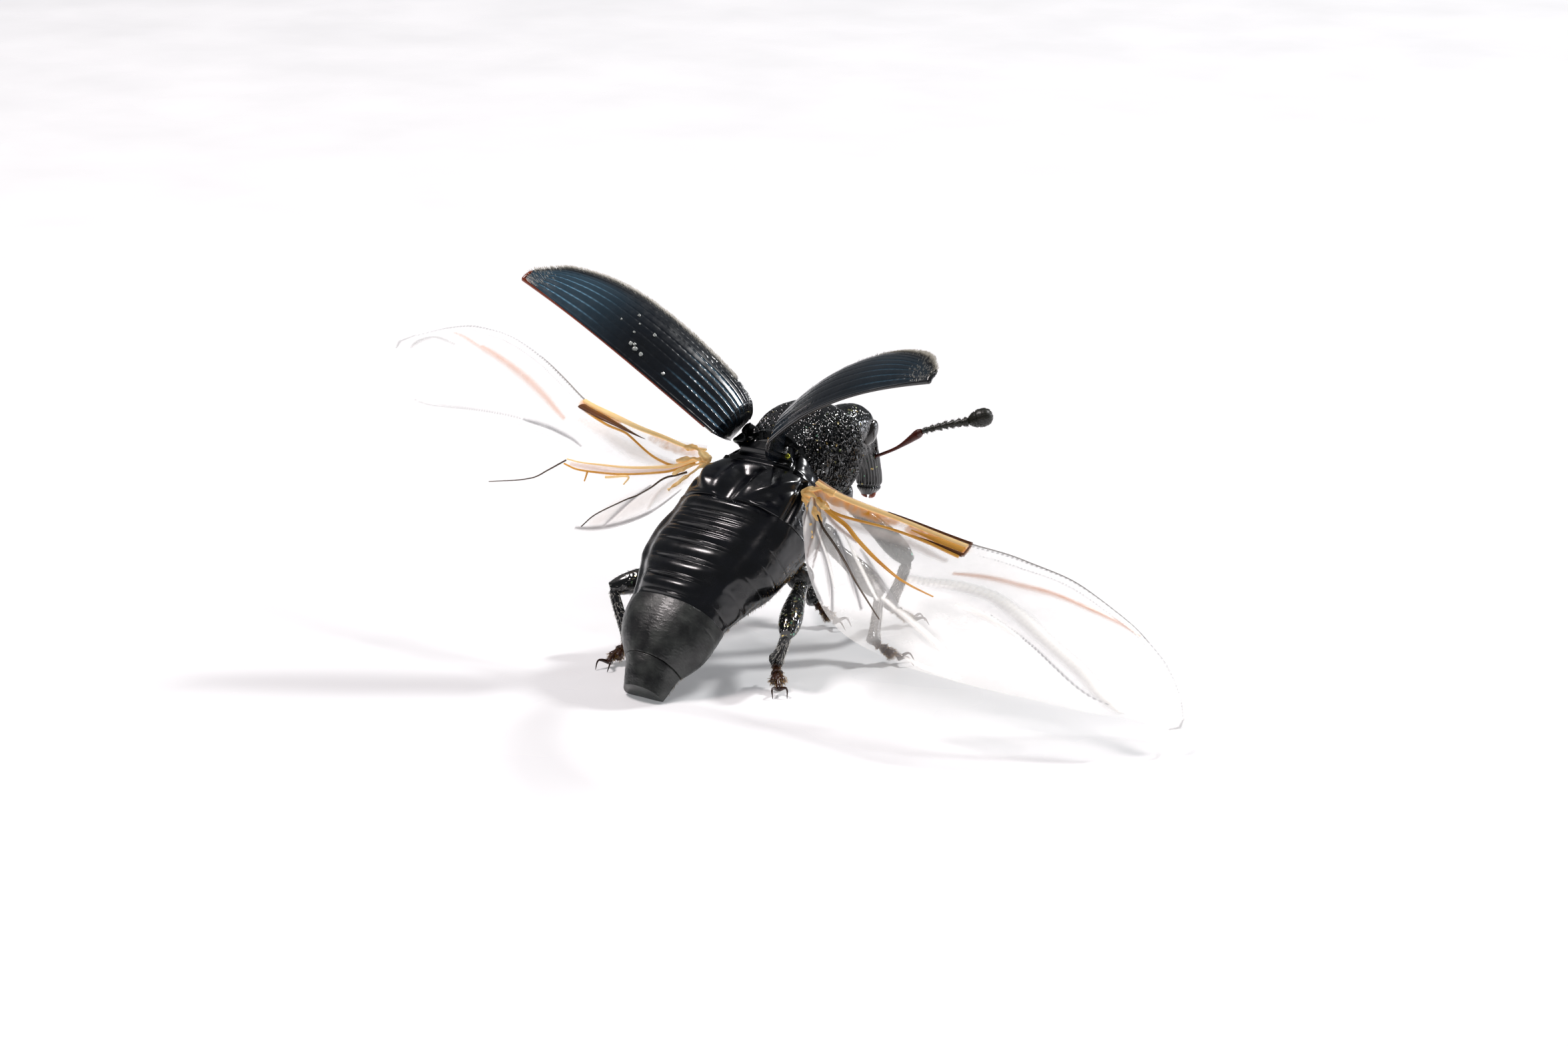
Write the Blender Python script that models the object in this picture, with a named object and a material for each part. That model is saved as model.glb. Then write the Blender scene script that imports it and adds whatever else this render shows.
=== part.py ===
# A black weevil about to take off, life-size: tail and feet on the floor, wing cases raised, wings out.
# Sizes are millimetres, written to the meshes as metres. The head looks along -Y, +X is the animal's
# left and +Z is up. Places on the floor are given as (forward of the tail, to the left, up).

import math

import bmesh
import bpy
import numpy as np

MM = 0.001
GAP = 0.3
FLOOR = 0.0
THIN = 0.5

# Where the middle of the model's box lies: forward of the tail tip, and to its left.
BOX_FORWARD = 8.71
BOX_LEFT = 0.5

# Hind body: mesothorax, metathorax, abdomen and tail tip, along one axis pitched nose-up.
HIND_FRONT_FORWARD = 9.3
HIND_FRONT_UP = 7.95
HIND_PITCH = 39.5
HIND_LENGTH = 12.4
MESO_REACH = 0.4
MESO_END = 1.2
META_END = 3.5
LAST_PLATE = 8.4
ABDOMEN_END = 11.1
# Distance back from the front, half width, height above the axis, depth below it, squareness.
HIND_PROFILE = (
    (0.0, 1.75, 1.3, 1.6, 3.2),
    (1.2, 2.55, 1.6, 2.1, 3.2),
    (2.4, 2.95, 2.0, 2.4, 2.8),
    (4.0, 3.15, 2.15, 2.25, 2.4),
    (6.0, 3.2, 2.15, 1.75, 2.3),
    (8.0, 2.4, 2.0, 1.0, 2.3),
    (10.0, 1.9, 1.75, 0.7, 2.3),
    (11.2, 1.3, 1.45, 0.35, 2.3),
    (12.4, 1.0, 0.85, 0.1, 2.3),
)
# Distance back from the front, and how far the body bends to the left there.
HIND_BEND = ((0.0, 0.0), (3.5, 0.15), (6.0, 0.5), (9.0, 0.55), (11.0, 0.3), (12.4, 0.1))
TERGITES = 6
TERGITE_STEP = 0.14
META_GROOVE = 0.3

# Prothorax, nearly level.
PRO_BASE_FORWARD = 8.5
PRO_BASE_UP = 8.05
PRO_LENGTH = 4.7
PRO_PITCH = 3.0
PRO_YAW = 2.0
PRO_POWER = 2.15
# How far the front rim leans forward for each millimetre of height.
PRO_LEAN = 0.1
PRO_PROFILE = (
    (0.0, 1.55, 1.45, 1.5),
    (0.35, 1.9, 1.62, 1.75),
    (1.35, 2.15, 1.87, 1.95),
    (2.2, 2.4, 2.1, 2.2),
    (3.2, 2.35, 2.0, 2.25),
    (4.0, 1.85, 1.55, 2.1),
    (4.7, 1.35, 1.15, 1.95),
)

# Head and rostrum: one curved axis, from inside the prothorax's front forward and then down.
HEAD_AXIS = (
    (-0.5, 0.0, 0.1),
    (0.6, 0.0, 0.15),
    (1.15, 0.0, 0.0),
    (1.75, 0.0, -0.9),
    (2.05, 0.0, -1.8),
    (2.2, 0.0, -2.66),
    (2.1, 0.0, -3.35),
)
# Part of the way along the axis, half width, half depth.
HEAD_PROFILE = (
    (0.0, 1.12, 1.12),
    (0.1, 1.1, 1.1),
    (0.2, 1.05, 1.05),
    (0.32, 0.92, 0.92),
    (0.47, 0.72, 0.72),
    (0.59, 0.6, 0.6),
    (0.77, 0.57, 0.56),
    (0.94, 0.6, 0.5),
    (1.0, 0.4, 0.3),
)
HEAD_SHARE = 0.42
HEAD_STEPS = 41
HEAD_LENGTH = 5.3
EYE_SHARE = 0.34
EYE_LONG = 0.62
EYE_WIDE = 0.42
EYE_OUT = 0.24
EYE_SINK = 0.05
EYE_SHIFT = 0.1

# Antenna, from its pit on the side of the rostrum: elbow, end of the funicle, end of the club.
ANTENNA_SHARE = 0.66
ANTENNA_REACH = {
    "left": ((0.5, 1.6, 0.3), (0.9, 3.0, 0.3), (1.2, 3.9, 0.2)),
    "right": ((0.26, 1.93, 1.51), (1.94, 3.23, 1.8), (2.47, 4.13, 2.14)),
}
SCAPE_THICK = 0.5
FUNICLE_THICK = 0.5
FUNICLE_BEADS = 7
CLUB_THICK = 0.8

# Wing cases, from the hinge on the mesothorax; the two are held a little differently.
ELYTRON_LENGTH = 11.2
ELYTRON_HINGE = {"left": (2.0, -0.5, 1.3), "right": (0.55, 0.2, 1.5)}
ELYTRON_CORNER = {"left": (1.3, 1.24, 3.05), "right": (1.15, 1.8, 3.41)}
ELYTRON_SPREAD = {"left": 103.4, "right": 106.4}
ELYTRON_LIFT = {"left": 35.2, "right": 31.6}
ELYTRON_TWIST = {"left": 47.7, "right": 54.3}
ELYTRON_BOW = {"left": 1.12, "right": 1.5}
ELYTRON_HUMP = {"left": 0.0, "right": 0.5}
ELYTRON_SCALE = {"left": 1.05, "right": 0.94}
ELYTRON_ARC = 82.0
ELYTRON_DROP = 2.1
# Share of the length, width from the seam to the outer edge.
ELYTRON_PLAN = ((0.0, 2.3), (0.1, 2.75), (0.25, 3.0), (0.5, 3.1), (0.72, 2.8), (0.9, 1.9), (1.0, 0.6))
ELYTRON_WIDE = 3.1
ELYTRON_ROOT = {"left": 1.3, "right": 1.5}
# Share of the length that narrows to the hinge, and where across the base the hinge lies.
ELYTRON_NECK = {"left": 0.03, "right": 0.13}
ELYTRON_HINGE_AT = 0.55
STRIA_DEPTH = 0.1

# Hind wings: root on the metathorax, end of the radial cell, tip, from the root.
WING_ROOT = {"left": (3.05, 1.5, 1.25), "right": (3.05, 1.9, 1.1)}
WING_REACH = {
    "left": ((0.19, 4.45, 0.38), (3.54, 19.26, 2.23)),
    "right": ((0.39, 11.18, -2.49), (1.66, 18.2, -6.86)),
}
WING_DROOP = {"left": (49.6, 16.7), "right": (51.4, 2.4)}
# Share of the span, leading edge and rear edge back from the span line.
WING_PLAN = (
    (0.0, -0.81, 1.02),
    (0.07, -0.65, 3.14),
    (0.2, -0.74, 4.95),
    (0.37, -0.89, 5.67),
    (0.5, -1.41, 5.76),
    (0.65, -1.95, 5.31),
    (0.8, -1.99, 4.0),
    (0.92, -1.13, 2.3),
    (1.0, 0.9, 1.7),
)
# Each vein: its place across the wing at the root and at its end, where it ends, its height.
WING_VEINS = (
    (0.03, 0.03, 0.62, 0.3),
    (0.17, 0.16, 0.46, 0.25),
    (0.33, 0.42, 0.75, 0.2),
    (0.52, 0.62, 0.6, 0.2),
    (0.72, 0.8, 0.5, 0.2),
)
VEIN_HALF = 0.035
WING_CAMBER = 0.35
WING_LOW = 0.7

# Legs: root, knee, ankle and claw tip of each, (forward, left, up) of the tail tip.
LEGS = {
    "front_left": ((11.7, 0.95, 6.3), (12.9, 2.6, 3.6), (11.9, 0.3, 0.95), (12.2, -1.3, 0.0)),
    "front_right": ((11.7, -0.95, 6.3), (13.4, -3.6, 3.3), (13.5, -2.5, 0.9), (14.9, -3.6, 0.0)),
    "middle_left": ((9.4, 1.8, 5.0), (10.3, 4.6, 3.0), (9.4, 5.2, 0.9), (9.7, 6.9, 0.0)),
    "middle_right": ((9.4, -1.8, 5.0), (10.6, -4.1, 2.6), (9.2, -4.8, 0.9), (10.1, -6.3, 0.0)),
    "hind_left": ((7.8, 2.1, 3.4), (4.2, 5.4, 2.65), (3.48, 3.91, 0.75), (1.3, 3.7, 0.0)),
    "hind_right": ((8.0, -2.0, 3.55), (4.02, -4.1, 2.53), (4.53, -3.13, 0.98), (3.0, -4.5, 0.0)),
}
COXA_LONG = 0.6
FEMUR_THICK = (0.55, 1.1, 0.7)
TIBIA_THICK = (0.55, 0.62, 0.72)
TARSUS_WIDE = 0.75
TARSUS_DEEP = 0.5
SOLE_HEIGHT = 0.12
CLAW_LONG = 0.55

RINGS = {"hind": 28, "pro": 24, "head": 16, "leg": 8, "thin": 8}


def curve(table, place):
    """Values of a table at a place, along a smooth curve through its rows."""
    rows = np.array(table, float)
    keys, values = rows[:, 0], rows[:, 1:]
    place = min(max(place, keys[0]), keys[-1])
    i = int(min(max(np.searchsorted(keys, place) - 1, 0), len(keys) - 2))
    span = keys[i + 1] - keys[i]
    t = (place - keys[i]) / span
    low, high = max(i - 1, 0), min(i + 2, len(keys) - 1)
    slope_a = (values[i + 1] - values[low]) / (keys[i + 1] - keys[low]) * span
    slope_b = (values[high] - values[i]) / (keys[high] - keys[i]) * span
    t2, t3 = t * t, t * t * t
    return (
        (2 * t3 - 3 * t2 + 1) * values[i]
        + (t3 - 2 * t2 + t) * slope_a
        + (3 * t2 - 2 * t3) * values[i + 1]
        + (t3 - t2) * slope_b
    )


def place(forward, left, up):
    """World point, in millimetres, from a place given from the tail tip."""
    return np.array((left - BOX_LEFT, BOX_FORWARD - forward, up))


def direction(forward, left, up):
    vector = np.array((left, -forward, up), float)
    return vector / np.linalg.norm(vector)


def unit(vector):
    return vector / np.linalg.norm(vector)


class Axes:
    """A pitched and turned frame: x to the left, y to the back, z up."""

    def __init__(self, origin, pitch, yaw=0.0):
        p, w = math.radians(pitch), math.radians(yaw)
        back = np.array((0.0, math.cos(p), -math.sin(p)))
        up = np.array((0.0, math.sin(p), math.cos(p)))
        turn = np.array(
            ((math.cos(w), -math.sin(w), 0.0), (math.sin(w), math.cos(w), 0.0), (0.0, 0.0, 1.0))
        )
        self.origin = np.array(origin, float)
        self.rows = np.array((turn @ (1.0, 0.0, 0.0), turn @ back, turn @ up))

    def at(self, x, y, z):
        return self.origin + np.array((x, y, z), float) @ self.rows


HIND = Axes(place(HIND_FRONT_FORWARD, 0.0, HIND_FRONT_UP), HIND_PITCH)
PRO = Axes(place(PRO_BASE_FORWARD, 0.0, PRO_BASE_UP), PRO_PITCH, PRO_YAW)


def section(half_width, above, below, power, count, shape=None):
    """Points (x, z) of a rounded section, from the left side over the top."""
    points = []
    for k in range(count):
        a = 2 * math.pi * k / count
        c, s = math.cos(a), math.sin(a)
        x = half_width * math.copysign(abs(c) ** (2 / power), c)
        z = (above if s > 0 else below) * math.copysign(abs(s) ** (2 / power), s)
        if shape:
            x, z = shape(a, x, z)
        points.append((x, z))
    return points


def material(name, colour, roughness, metallic=0.0, alpha=1.0):
    mat = bpy.data.materials.get(name) or bpy.data.materials.new(name)
    mat.use_nodes = True
    shader = mat.node_tree.nodes["Principled BSDF"]
    shader.inputs["Base Color"].default_value = (*colour, 1.0)
    shader.inputs["Roughness"].default_value = roughness
    shader.inputs["Metallic"].default_value = metallic
    shader.inputs["Alpha"].default_value = alpha
    return mat


def node(name, points, faces, mat, sharp=35.0):
    """A closed mesh object from points in millimetres, its faces turned out."""
    mesh = bpy.data.meshes.new(name)
    mesh.from_pydata([tuple(p * MM) for p in points], [], faces)
    work = bmesh.new()
    work.from_mesh(mesh)
    bmesh.ops.recalc_face_normals(work, faces=work.faces)
    work.to_mesh(mesh)
    work.free()
    mesh.shade_smooth()
    mesh.set_sharp_from_angle(angle=math.radians(sharp))
    mesh.materials.append(mat)
    thing = bpy.data.objects.new(name, mesh)
    bpy.context.scene.collection.objects.link(thing)
    return thing


def tube(rings):
    """Points and faces of a closed tube through rings of points, its ends filled flat."""
    count = len(rings[0])
    points = [np.array(p, float) for ring in rings for p in ring]
    faces = []
    for r in range(len(rings) - 1):
        for k in range(count):
            j = (k + 1) % count
            faces.append((r * count + k, r * count + j, (r + 1) * count + j, (r + 1) * count + k))
    last = (len(rings) - 1) * count
    faces.append(tuple(range(count)))
    faces.append(tuple(last + k for k in range(count)))
    return points, faces


def smooth_line(anchors, count):
    """Points along a smooth curve through a few anchors, by share of its length."""
    anchors = [np.array(a, float) for a in anchors]
    steps = [0.0]
    for a, b in zip(anchors, anchors[1:]):
        steps.append(steps[-1] + float(np.linalg.norm(b - a)))
    table = [(s / steps[-1], *a) for s, a in zip(steps, anchors)]
    return [curve(table, k / (count - 1)) for k in range(count)]


def sweep(line, sizes, sides, reference):
    """Rings across a line: sizes gives (half width, half depth); depth is along the reference."""
    rings = []
    for k, p in enumerate(line):
        ahead = line[min(k + 1, len(line) - 1)]
        behind = line[max(k - 1, 0)]
        along = unit(ahead - behind)
        wide = unit(np.cross(along, reference))
        deep = np.cross(wide, along)
        half_wide, half_deep = sizes[k]
        ring = []
        for s in range(sides):
            a = 2 * math.pi * s / sides
            ring.append(p + wide * half_wide * math.cos(a) + deep * half_deep * math.sin(a))
        rings.append(ring)
    return rings


def join(target, others, operation):
    """One Boolean of others on the target, applied, keeping the largest closed surface."""
    group = bpy.data.collections.new("pieces")
    for thing in others:
        bpy.context.scene.collection.objects.unlink(thing)
        group.objects.link(thing)
    bpy.context.scene.collection.children.link(group)
    boolean = target.modifiers.new("join", "BOOLEAN")
    boolean.operation = operation
    boolean.operand_type = "COLLECTION"
    boolean.collection = group
    graph = bpy.context.evaluated_depsgraph_get()
    graph.update()
    result = bpy.data.meshes.new_from_object(target.evaluated_get(graph))
    target.modifiers.clear()
    target.data = result
    for thing in others:
        bpy.data.objects.remove(thing)
    bpy.data.collections.remove(group)
    keep_largest(target)


def keep_largest(thing):
    work = bmesh.new()
    work.from_mesh(thing.data)
    left = set(work.verts)
    islands = []
    while left:
        stack = [left.pop()]
        island = set(stack)
        while stack:
            for edge in stack.pop().link_edges:
                for vert in edge.verts:
                    if vert in left:
                        left.discard(vert)
                        island.add(vert)
                        stack.append(vert)
        islands.append(island)
    islands.sort(key=len, reverse=True)
    for island in islands[1:]:
        bmesh.ops.delete(work, geom=list(island), context="VERTS")
    work.to_mesh(thing.data)
    work.free()


def stand_flat(thing, mat):
    """Cuts off what lies under the floor, which leaves small flats at one level."""
    wide, deep = 30.0, 2.0
    low, high = FLOOR - deep, FLOOR
    rings = []
    for z in (low, high):
        rings.append([(-wide, -wide, z), (wide, -wide, z), (wide, wide, z), (-wide, wide, z)])
    join(thing, [node("ground", *tube(rings), mat)], "DIFFERENCE")


def hind_ring(back, shape=None, raise_top=0.0, swell=0.0):
    half_width, above, below, power = curve(HIND_PROFILE, back)
    sizes = (half_width + swell, above + swell + raise_top, below + swell)
    bend = curve(HIND_BEND, back)[0]
    flat = section(*sizes, power, RINGS["hind"], shape)
    return [HIND.at(x + bend, back, z) for x, z in flat]


def pro_ring(forward, swell=0.0):
    half_width, above, below = curve(PRO_PROFILE, forward) + swell
    flat = section(half_width, above, below, PRO_POWER, RINGS["pro"])
    lean = PRO_LEAN * forward / PRO_LENGTH
    return [PRO.at(x, -forward - lean * z, z) for x, z in flat]


def swelled_front(mat):
    stations = np.linspace(0.0, PRO_LENGTH + GAP, 12)
    return node("swelled_front", *tube([pro_ring(s, swell=GAP) for s in stations]), mat)


def swelled_hind(mat):
    stations = np.linspace(0.0, HIND_LENGTH, 24)
    rings = [hind_ring(s, swell=GAP + TERGITE_STEP) for s in stations]
    return node("swelled_hind", *tube(rings), mat)


def trim(thing, mat):
    """Cuts a limb back to the gap that it keeps to the trunk."""
    join(thing, [swelled_hind(mat), swelled_front(mat)], "DIFFERENCE")


def build_mesothorax(mat):
    """The short ring that carries the wing cases, with the small scutellum at its top front."""
    stations = np.linspace(-MESO_REACH, MESO_END - GAP / 2, 7)
    thing = node("mesothorax", *tube([hind_ring(s) for s in stations]), mat)
    join(thing, [swelled_front(mat)], "DIFFERENCE")


def build_metathorax(mat):
    """The flight segment: two rounded lobes on the back with a groove between them."""

    def grooved(depth):
        def shape(a, x, z):
            off = abs(a - math.pi / 2)
            dip = depth * math.exp(-((off / 0.2) ** 2))
            swell = 0.5 * depth * math.exp(-(((off - 0.6) / 0.3) ** 2))
            return x, z - dip + swell

        return shape

    start, end = MESO_END + GAP / 2, META_END - GAP / 2
    rings = []
    for k in range(9):
        t = k / 8
        depth = META_GROOVE * math.sin(math.pi * t) ** 0.7 if 0 < k < 8 else 0.0
        rings.append(hind_ring(start + (end - start) * t, grooved(depth)))
    thing = node("metathorax", *tube(rings), mat)
    join(thing, [swelled_front(mat)], "DIFFERENCE")


def build_abdomen(mat):
    """Rings of overlapping back plates, with a groove along each side below them."""

    def sides(a, x, z):
        off = min(abs(a - 0.25), abs(a - (math.pi - 0.25)))
        pinch = 1.0 - 0.045 * math.exp(-((off / 0.12) ** 2))
        return x * pinch, z * pinch

    start, end = META_END + GAP / 2, ABDOMEN_END - GAP / 2
    rings = [hind_ring(start, sides)]
    edges = list(np.linspace(start, LAST_PLATE, TERGITES + 1)) + [end]
    for first, after in zip(edges, edges[1:]):
        for share, lift in ((0.12, 0.35), (0.5, 0.8), (0.88, 1.0), (1.0, 0.0)):
            rings.append(hind_ring(first + share * (after - first), sides, TERGITE_STEP * lift))
    node("abdomen", *tube(rings), mat)


def build_tail_tip(mat):
    """The last plate, rounded, cut flat where it rests on the floor."""
    start = ABDOMEN_END + GAP / 2
    rings = [hind_ring(start + (HIND_LENGTH - start) * k / 5) for k in range(6)]
    thing = node("pygidium", *tube(rings), mat)
    stand_flat(thing, mat)


def build_prothorax(mat):
    rings = []
    for k in range(13):
        forward = PRO_LENGTH * k / 12
        rings.append(pro_ring(forward))
    node("prothorax", *tube(rings), mat)


def head_line(count):
    start = PRO.at(0.0, -(PRO_LENGTH + GAP), 0.0)
    turn = PRO.rows
    anchors = [start + a[0] * -turn[1] + a[1] * turn[0] + a[2] * turn[2] for a in HEAD_AXIS]
    return smooth_line(anchors, count)


def head_rings(first, last, count):
    line = head_line(HEAD_STEPS)
    picked, sizes = [], []
    for k in range(count):
        share = first + (last - first) * k / (count - 1)
        at = share * (HEAD_STEPS - 1)
        i = min(int(at), HEAD_STEPS - 2)
        picked.append(line[i] + (line[i + 1] - line[i]) * (at - i))
        sizes.append(curve(HEAD_PROFILE, share))
    return sweep(picked, sizes, RINGS["head"], PRO.rows[0])


def eye_points(side, swell):
    """An egg-shaped eye, set in the side of the head, its size swelled for the socket."""
    line = head_line(HEAD_STEPS)
    at = int(EYE_SHARE * (HEAD_STEPS - 1))
    along = unit(line[at + 1] - line[at - 1])
    across = PRO.rows[0] * side
    deep = np.cross(along, across)
    half_deep = curve(HEAD_PROFILE, EYE_SHARE)[1]
    centre = line[at] + across * (half_deep - EYE_SINK) - deep * side * EYE_SHIFT
    rings = []
    for r in range(1, 8):
        lat = math.pi * (r / 8 - 0.5)
        ring = []
        for k in range(12):
            a = 2 * math.pi * k / 12
            ring.append(
                centre
                + along * (EYE_WIDE + swell) * math.cos(lat) * math.cos(a)
                + deep * (EYE_LONG + swell) * math.cos(lat) * math.sin(a)
                + across * (EYE_OUT + swell) * math.sin(lat)
            )
        rings.append(ring)
    return tube(rings)


def build_head(skin, eye_mat):
    split = GAP / 2 / HEAD_LENGTH
    head = node("head", *tube(head_rings(0.0, HEAD_SHARE - split, 10)), skin)
    sockets = [node(f"socket_{s}", *eye_points(s, GAP), skin) for s in (1, -1)]
    join(head, sockets + [swelled_front(skin)], "DIFFERENCE")
    for side, word in ((1, "left"), (-1, "right")):
        node(f"eye_{word}", *eye_points(side, 0.0), eye_mat)
    node("rostrum", *tube(head_rings(HEAD_SHARE + split, 1.0, 15)), skin)


def build_antenna(side, word, scape_mat, hair_mat):
    line = head_line(HEAD_STEPS)
    pit = line[int(ANTENNA_SHARE * (HEAD_STEPS - 1))]
    out = np.array((side, 0.0, 0.0))
    half = curve(HEAD_PROFILE, ANTENNA_SHARE)[1]
    start = pit + out * (half + GAP)

    def reach(forward, left, up):
        return start + np.array((side * left, -forward, up))

    def rod(name, a, b, sizes, bend, mat):
        middle = (a + b) / 2 + np.array((0.0, 0.0, bend))
        line = smooth_line((a, middle, b), len(sizes))
        rings = sweep(line, [(s, s) for s in sizes], RINGS["thin"], np.array((0.0, 1.0, 0.0)))
        node(name, *tube(rings), mat)

    elbow, wrist, tip = (reach(*point) for point in ANTENNA_REACH[word])
    swell = [SCAPE_THICK / 2 * (1.0 + 0.35 * max(0.0, t - 0.6) / 0.4) for t in np.linspace(0, 1, 9)]
    rod(f"antenna_{word}_scape", start, elbow, swell[:-1] + [SCAPE_THICK * 0.4], -0.12, scape_mat)
    first = elbow + unit(wrist - elbow) * GAP
    beads = []
    for k in range(FUNICLE_BEADS * 2 + 1):
        grow = 1.0 + 0.35 * k / (FUNICLE_BEADS * 2)
        beads.append(FUNICLE_THICK / 2 * grow * (1.12 if k % 2 else 0.88))
    rod(f"antenna_{word}_funicle", first, wrist, beads, 0.0, hair_mat)
    base = wrist + unit(tip - wrist) * GAP
    club = [CLUB_THICK / 2 * s for s in (0.55, 0.85, 1.0, 0.97, 1.0, 0.85, 0.6, 0.25)]
    rod(f"antenna_{word}_club", base, tip, club, 0.0, hair_mat)


def sheet(grid, outer, inner):
    """A closed thin shell from a grid of points: both faces are split into triangles alike."""
    rows, cols = grid.shape[:2]
    points = [outer[i, j] for i in range(rows) for j in range(cols)]
    points += [inner[i, j] for i in range(rows) for j in range(cols)]
    shift = rows * cols
    faces = []
    for i in range(rows - 1):
        for j in range(cols - 1):
            a, b = i * cols + j, i * cols + j + 1
            c, d = a + cols, b + cols
            faces += [(a, b, d), (a, d, c)]
            faces += [(a + shift, d + shift, b + shift), (a + shift, c + shift, d + shift)]
    rim = [j for j in range(cols)]
    rim += [i * cols + cols - 1 for i in range(1, rows)]
    rim += [(rows - 1) * cols + j for j in range(cols - 2, -1, -1)]
    rim += [i * cols for i in range(rows - 2, 0, -1)]
    for k, a in enumerate(rim):
        b = rim[(k + 1) % len(rim)]
        faces += [(a, a + shift, b + shift), (a, b + shift, b)]
    return points, faces


def grid_normals(grid):
    along = np.gradient(grid, axis=0)
    across = np.gradient(grid, axis=1)
    normal = np.cross(along, across)
    return normal / np.maximum(np.linalg.norm(normal, axis=2, keepdims=True), 1e-9)


def elytron_axes(side, word):
    spread, lift = math.radians(ELYTRON_SPREAD[word]), math.radians(ELYTRON_LIFT[word])
    along = direction(
        math.cos(spread) * math.cos(lift), side * math.sin(spread) * math.cos(lift), math.sin(lift)
    )
    up = np.array((0.0, 0.0, 1.0))
    face = unit(up - along * float(up @ along))
    front = np.cross(along, face) * side
    twist = math.radians(ELYTRON_TWIST[word])
    width = front * math.cos(twist) + face * math.sin(twist)
    outward = face * math.cos(twist) - front * math.sin(twist)
    return along, width, outward


def build_elytron(side, word, mat, rows=21, cols=13):
    x, back, up = ELYTRON_HINGE[word]
    hinge = HIND.at(side * x, back, up)
    x, back, up = ELYTRON_CORNER[word]
    corner = HIND.at(side * x, back, up)
    along, width, outward = elytron_axes(side, word)
    arc = math.radians(ELYTRON_ARC)
    grid = np.zeros((rows, cols, 3))
    groove = np.zeros((rows, cols, 1))
    shares = [0.0] + list(np.linspace(ELYTRON_NECK[word], 1.0, rows - 1))
    for i, u in enumerate(shares):
        wide = curve(ELYTRON_PLAN, u)[0] * ELYTRON_SCALE[word]
        for j in range(cols):
            v = j / (cols - 1)
            across = wide * math.sin(arc * v) / math.sin(arc)
            drop = ELYTRON_DROP * wide / ELYTRON_WIDE * (1 - math.cos(arc * v))
            bow = ELYTRON_BOW[word] * u**3 - ELYTRON_HUMP[word] * math.sin(math.pi * u)
            point = corner + along * ELYTRON_LENGTH * u + width * across - outward * (drop + bow)
            if i == 0:
                point = hinge + width * ELYTRON_ROOT[word] * (v - ELYTRON_HINGE_AT)
            grid[i, j] = point
            if j % 3 == 0 and 0 < j < cols - 1 and 0.08 < u < 0.92:
                groove[i, j] = STRIA_DEPTH
    normal = grid_normals(grid)
    if float(normal[rows // 2, cols // 2] @ outward) < 0:
        normal = -normal
    outer = grid - normal * groove
    inner = grid - normal * THIN
    trim(node(f"elytron_{word}", *sheet(grid, outer, inner), mat), mat)


def wing_columns():
    """Places across the wing: both edges, each vein with its two feet, and one between veins."""
    places = [0.0, 1.0]
    roots = [vein[0] for vein in WING_VEINS]
    for root in roots:
        places += [max(root - VEIN_HALF, 0.0), root, root + VEIN_HALF]
    for a, b in zip(roots, roots[1:] + [1.0]):
        places.append((a + b) / 2)
    return sorted(set(round(p, 4) for p in places))


def wing_across(place_at_root, u):
    """How a line that starts between veins runs: it follows them as they spread."""
    table = [(0.0, 0.0)]
    for root, end, stop, _ in WING_VEINS:
        t = min(u / stop, 1.0)
        table.append((root, root + (end - root) * t))
    table.append((1.0, 1.0))
    rows = np.array(table)
    return float(np.interp(place_at_root, rows[:, 0], rows[:, 1]))


def build_wing(side, word, mat, rows=21):
    x, back, up = WING_ROOT[word]
    root = HIND.at(side * x, back, up)
    cell, tip = WING_REACH[word]
    anchors = [root]
    for forward, left, rise in (cell, tip):
        anchors.append(root + np.array((side * left, -forward, rise)))
    line = smooth_line(anchors, rows)
    columns = wing_columns()
    grid = np.zeros((rows, len(columns), 3))
    ridge = np.zeros((rows, len(columns), 1))
    droop_root, droop_tip = WING_DROOP[word]
    for i in range(rows):
        u = i / (rows - 1)
        front, rear = curve(WING_PLAN, u)
        droop = math.radians(droop_root + (droop_tip - droop_root) * u)
        back_way = np.array((0.0, math.cos(droop), -math.sin(droop)))
        for j, column in enumerate(columns):
            v = wing_across(column, u)
            chord = front + (rear - front) * v
            lift = WING_CAMBER * math.sin(math.pi * v) * math.sin(math.pi * min(u * 1.3, 1.0))
            point = line[i] + back_way * chord + np.array((0.0, 0.0, lift))
            above = point[2] - WING_LOW
            if above < 1.0:
                point[2] = WING_LOW + math.exp(above - 1.0)
            grid[i, j] = point
            for vein_root, _, stop, height in WING_VEINS:
                if abs(column - vein_root) < 1e-3:
                    ridge[i, j] = height * min(1.0, max(0.0, (stop - u) / 0.12))
    normal = grid_normals(grid)
    normal[normal[:, :, 2] < 0] *= -1
    outer = grid + normal * (THIN / 2 + ridge)
    inner = grid - normal * (THIN / 2)
    trim(node(f"hindwing_{word}", *sheet(grid, outer, inner), mat), mat)


def limb(name, a, b, sizes, mat, reference=(0.0, 0.0, 1.0), bend=(0.0, 0.0, 0.0), flat=1.0):
    """One leg joint from a to b; sizes are thicknesses along it."""
    middle = (a + b) / 2 + np.array(bend)
    line = smooth_line((a, middle, b), len(sizes))
    halves = [(s / 2 * flat, s / 2) for s in sizes]
    return node(name, *tube(sweep(line, halves, RINGS["leg"], np.array(reference))), mat)


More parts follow.
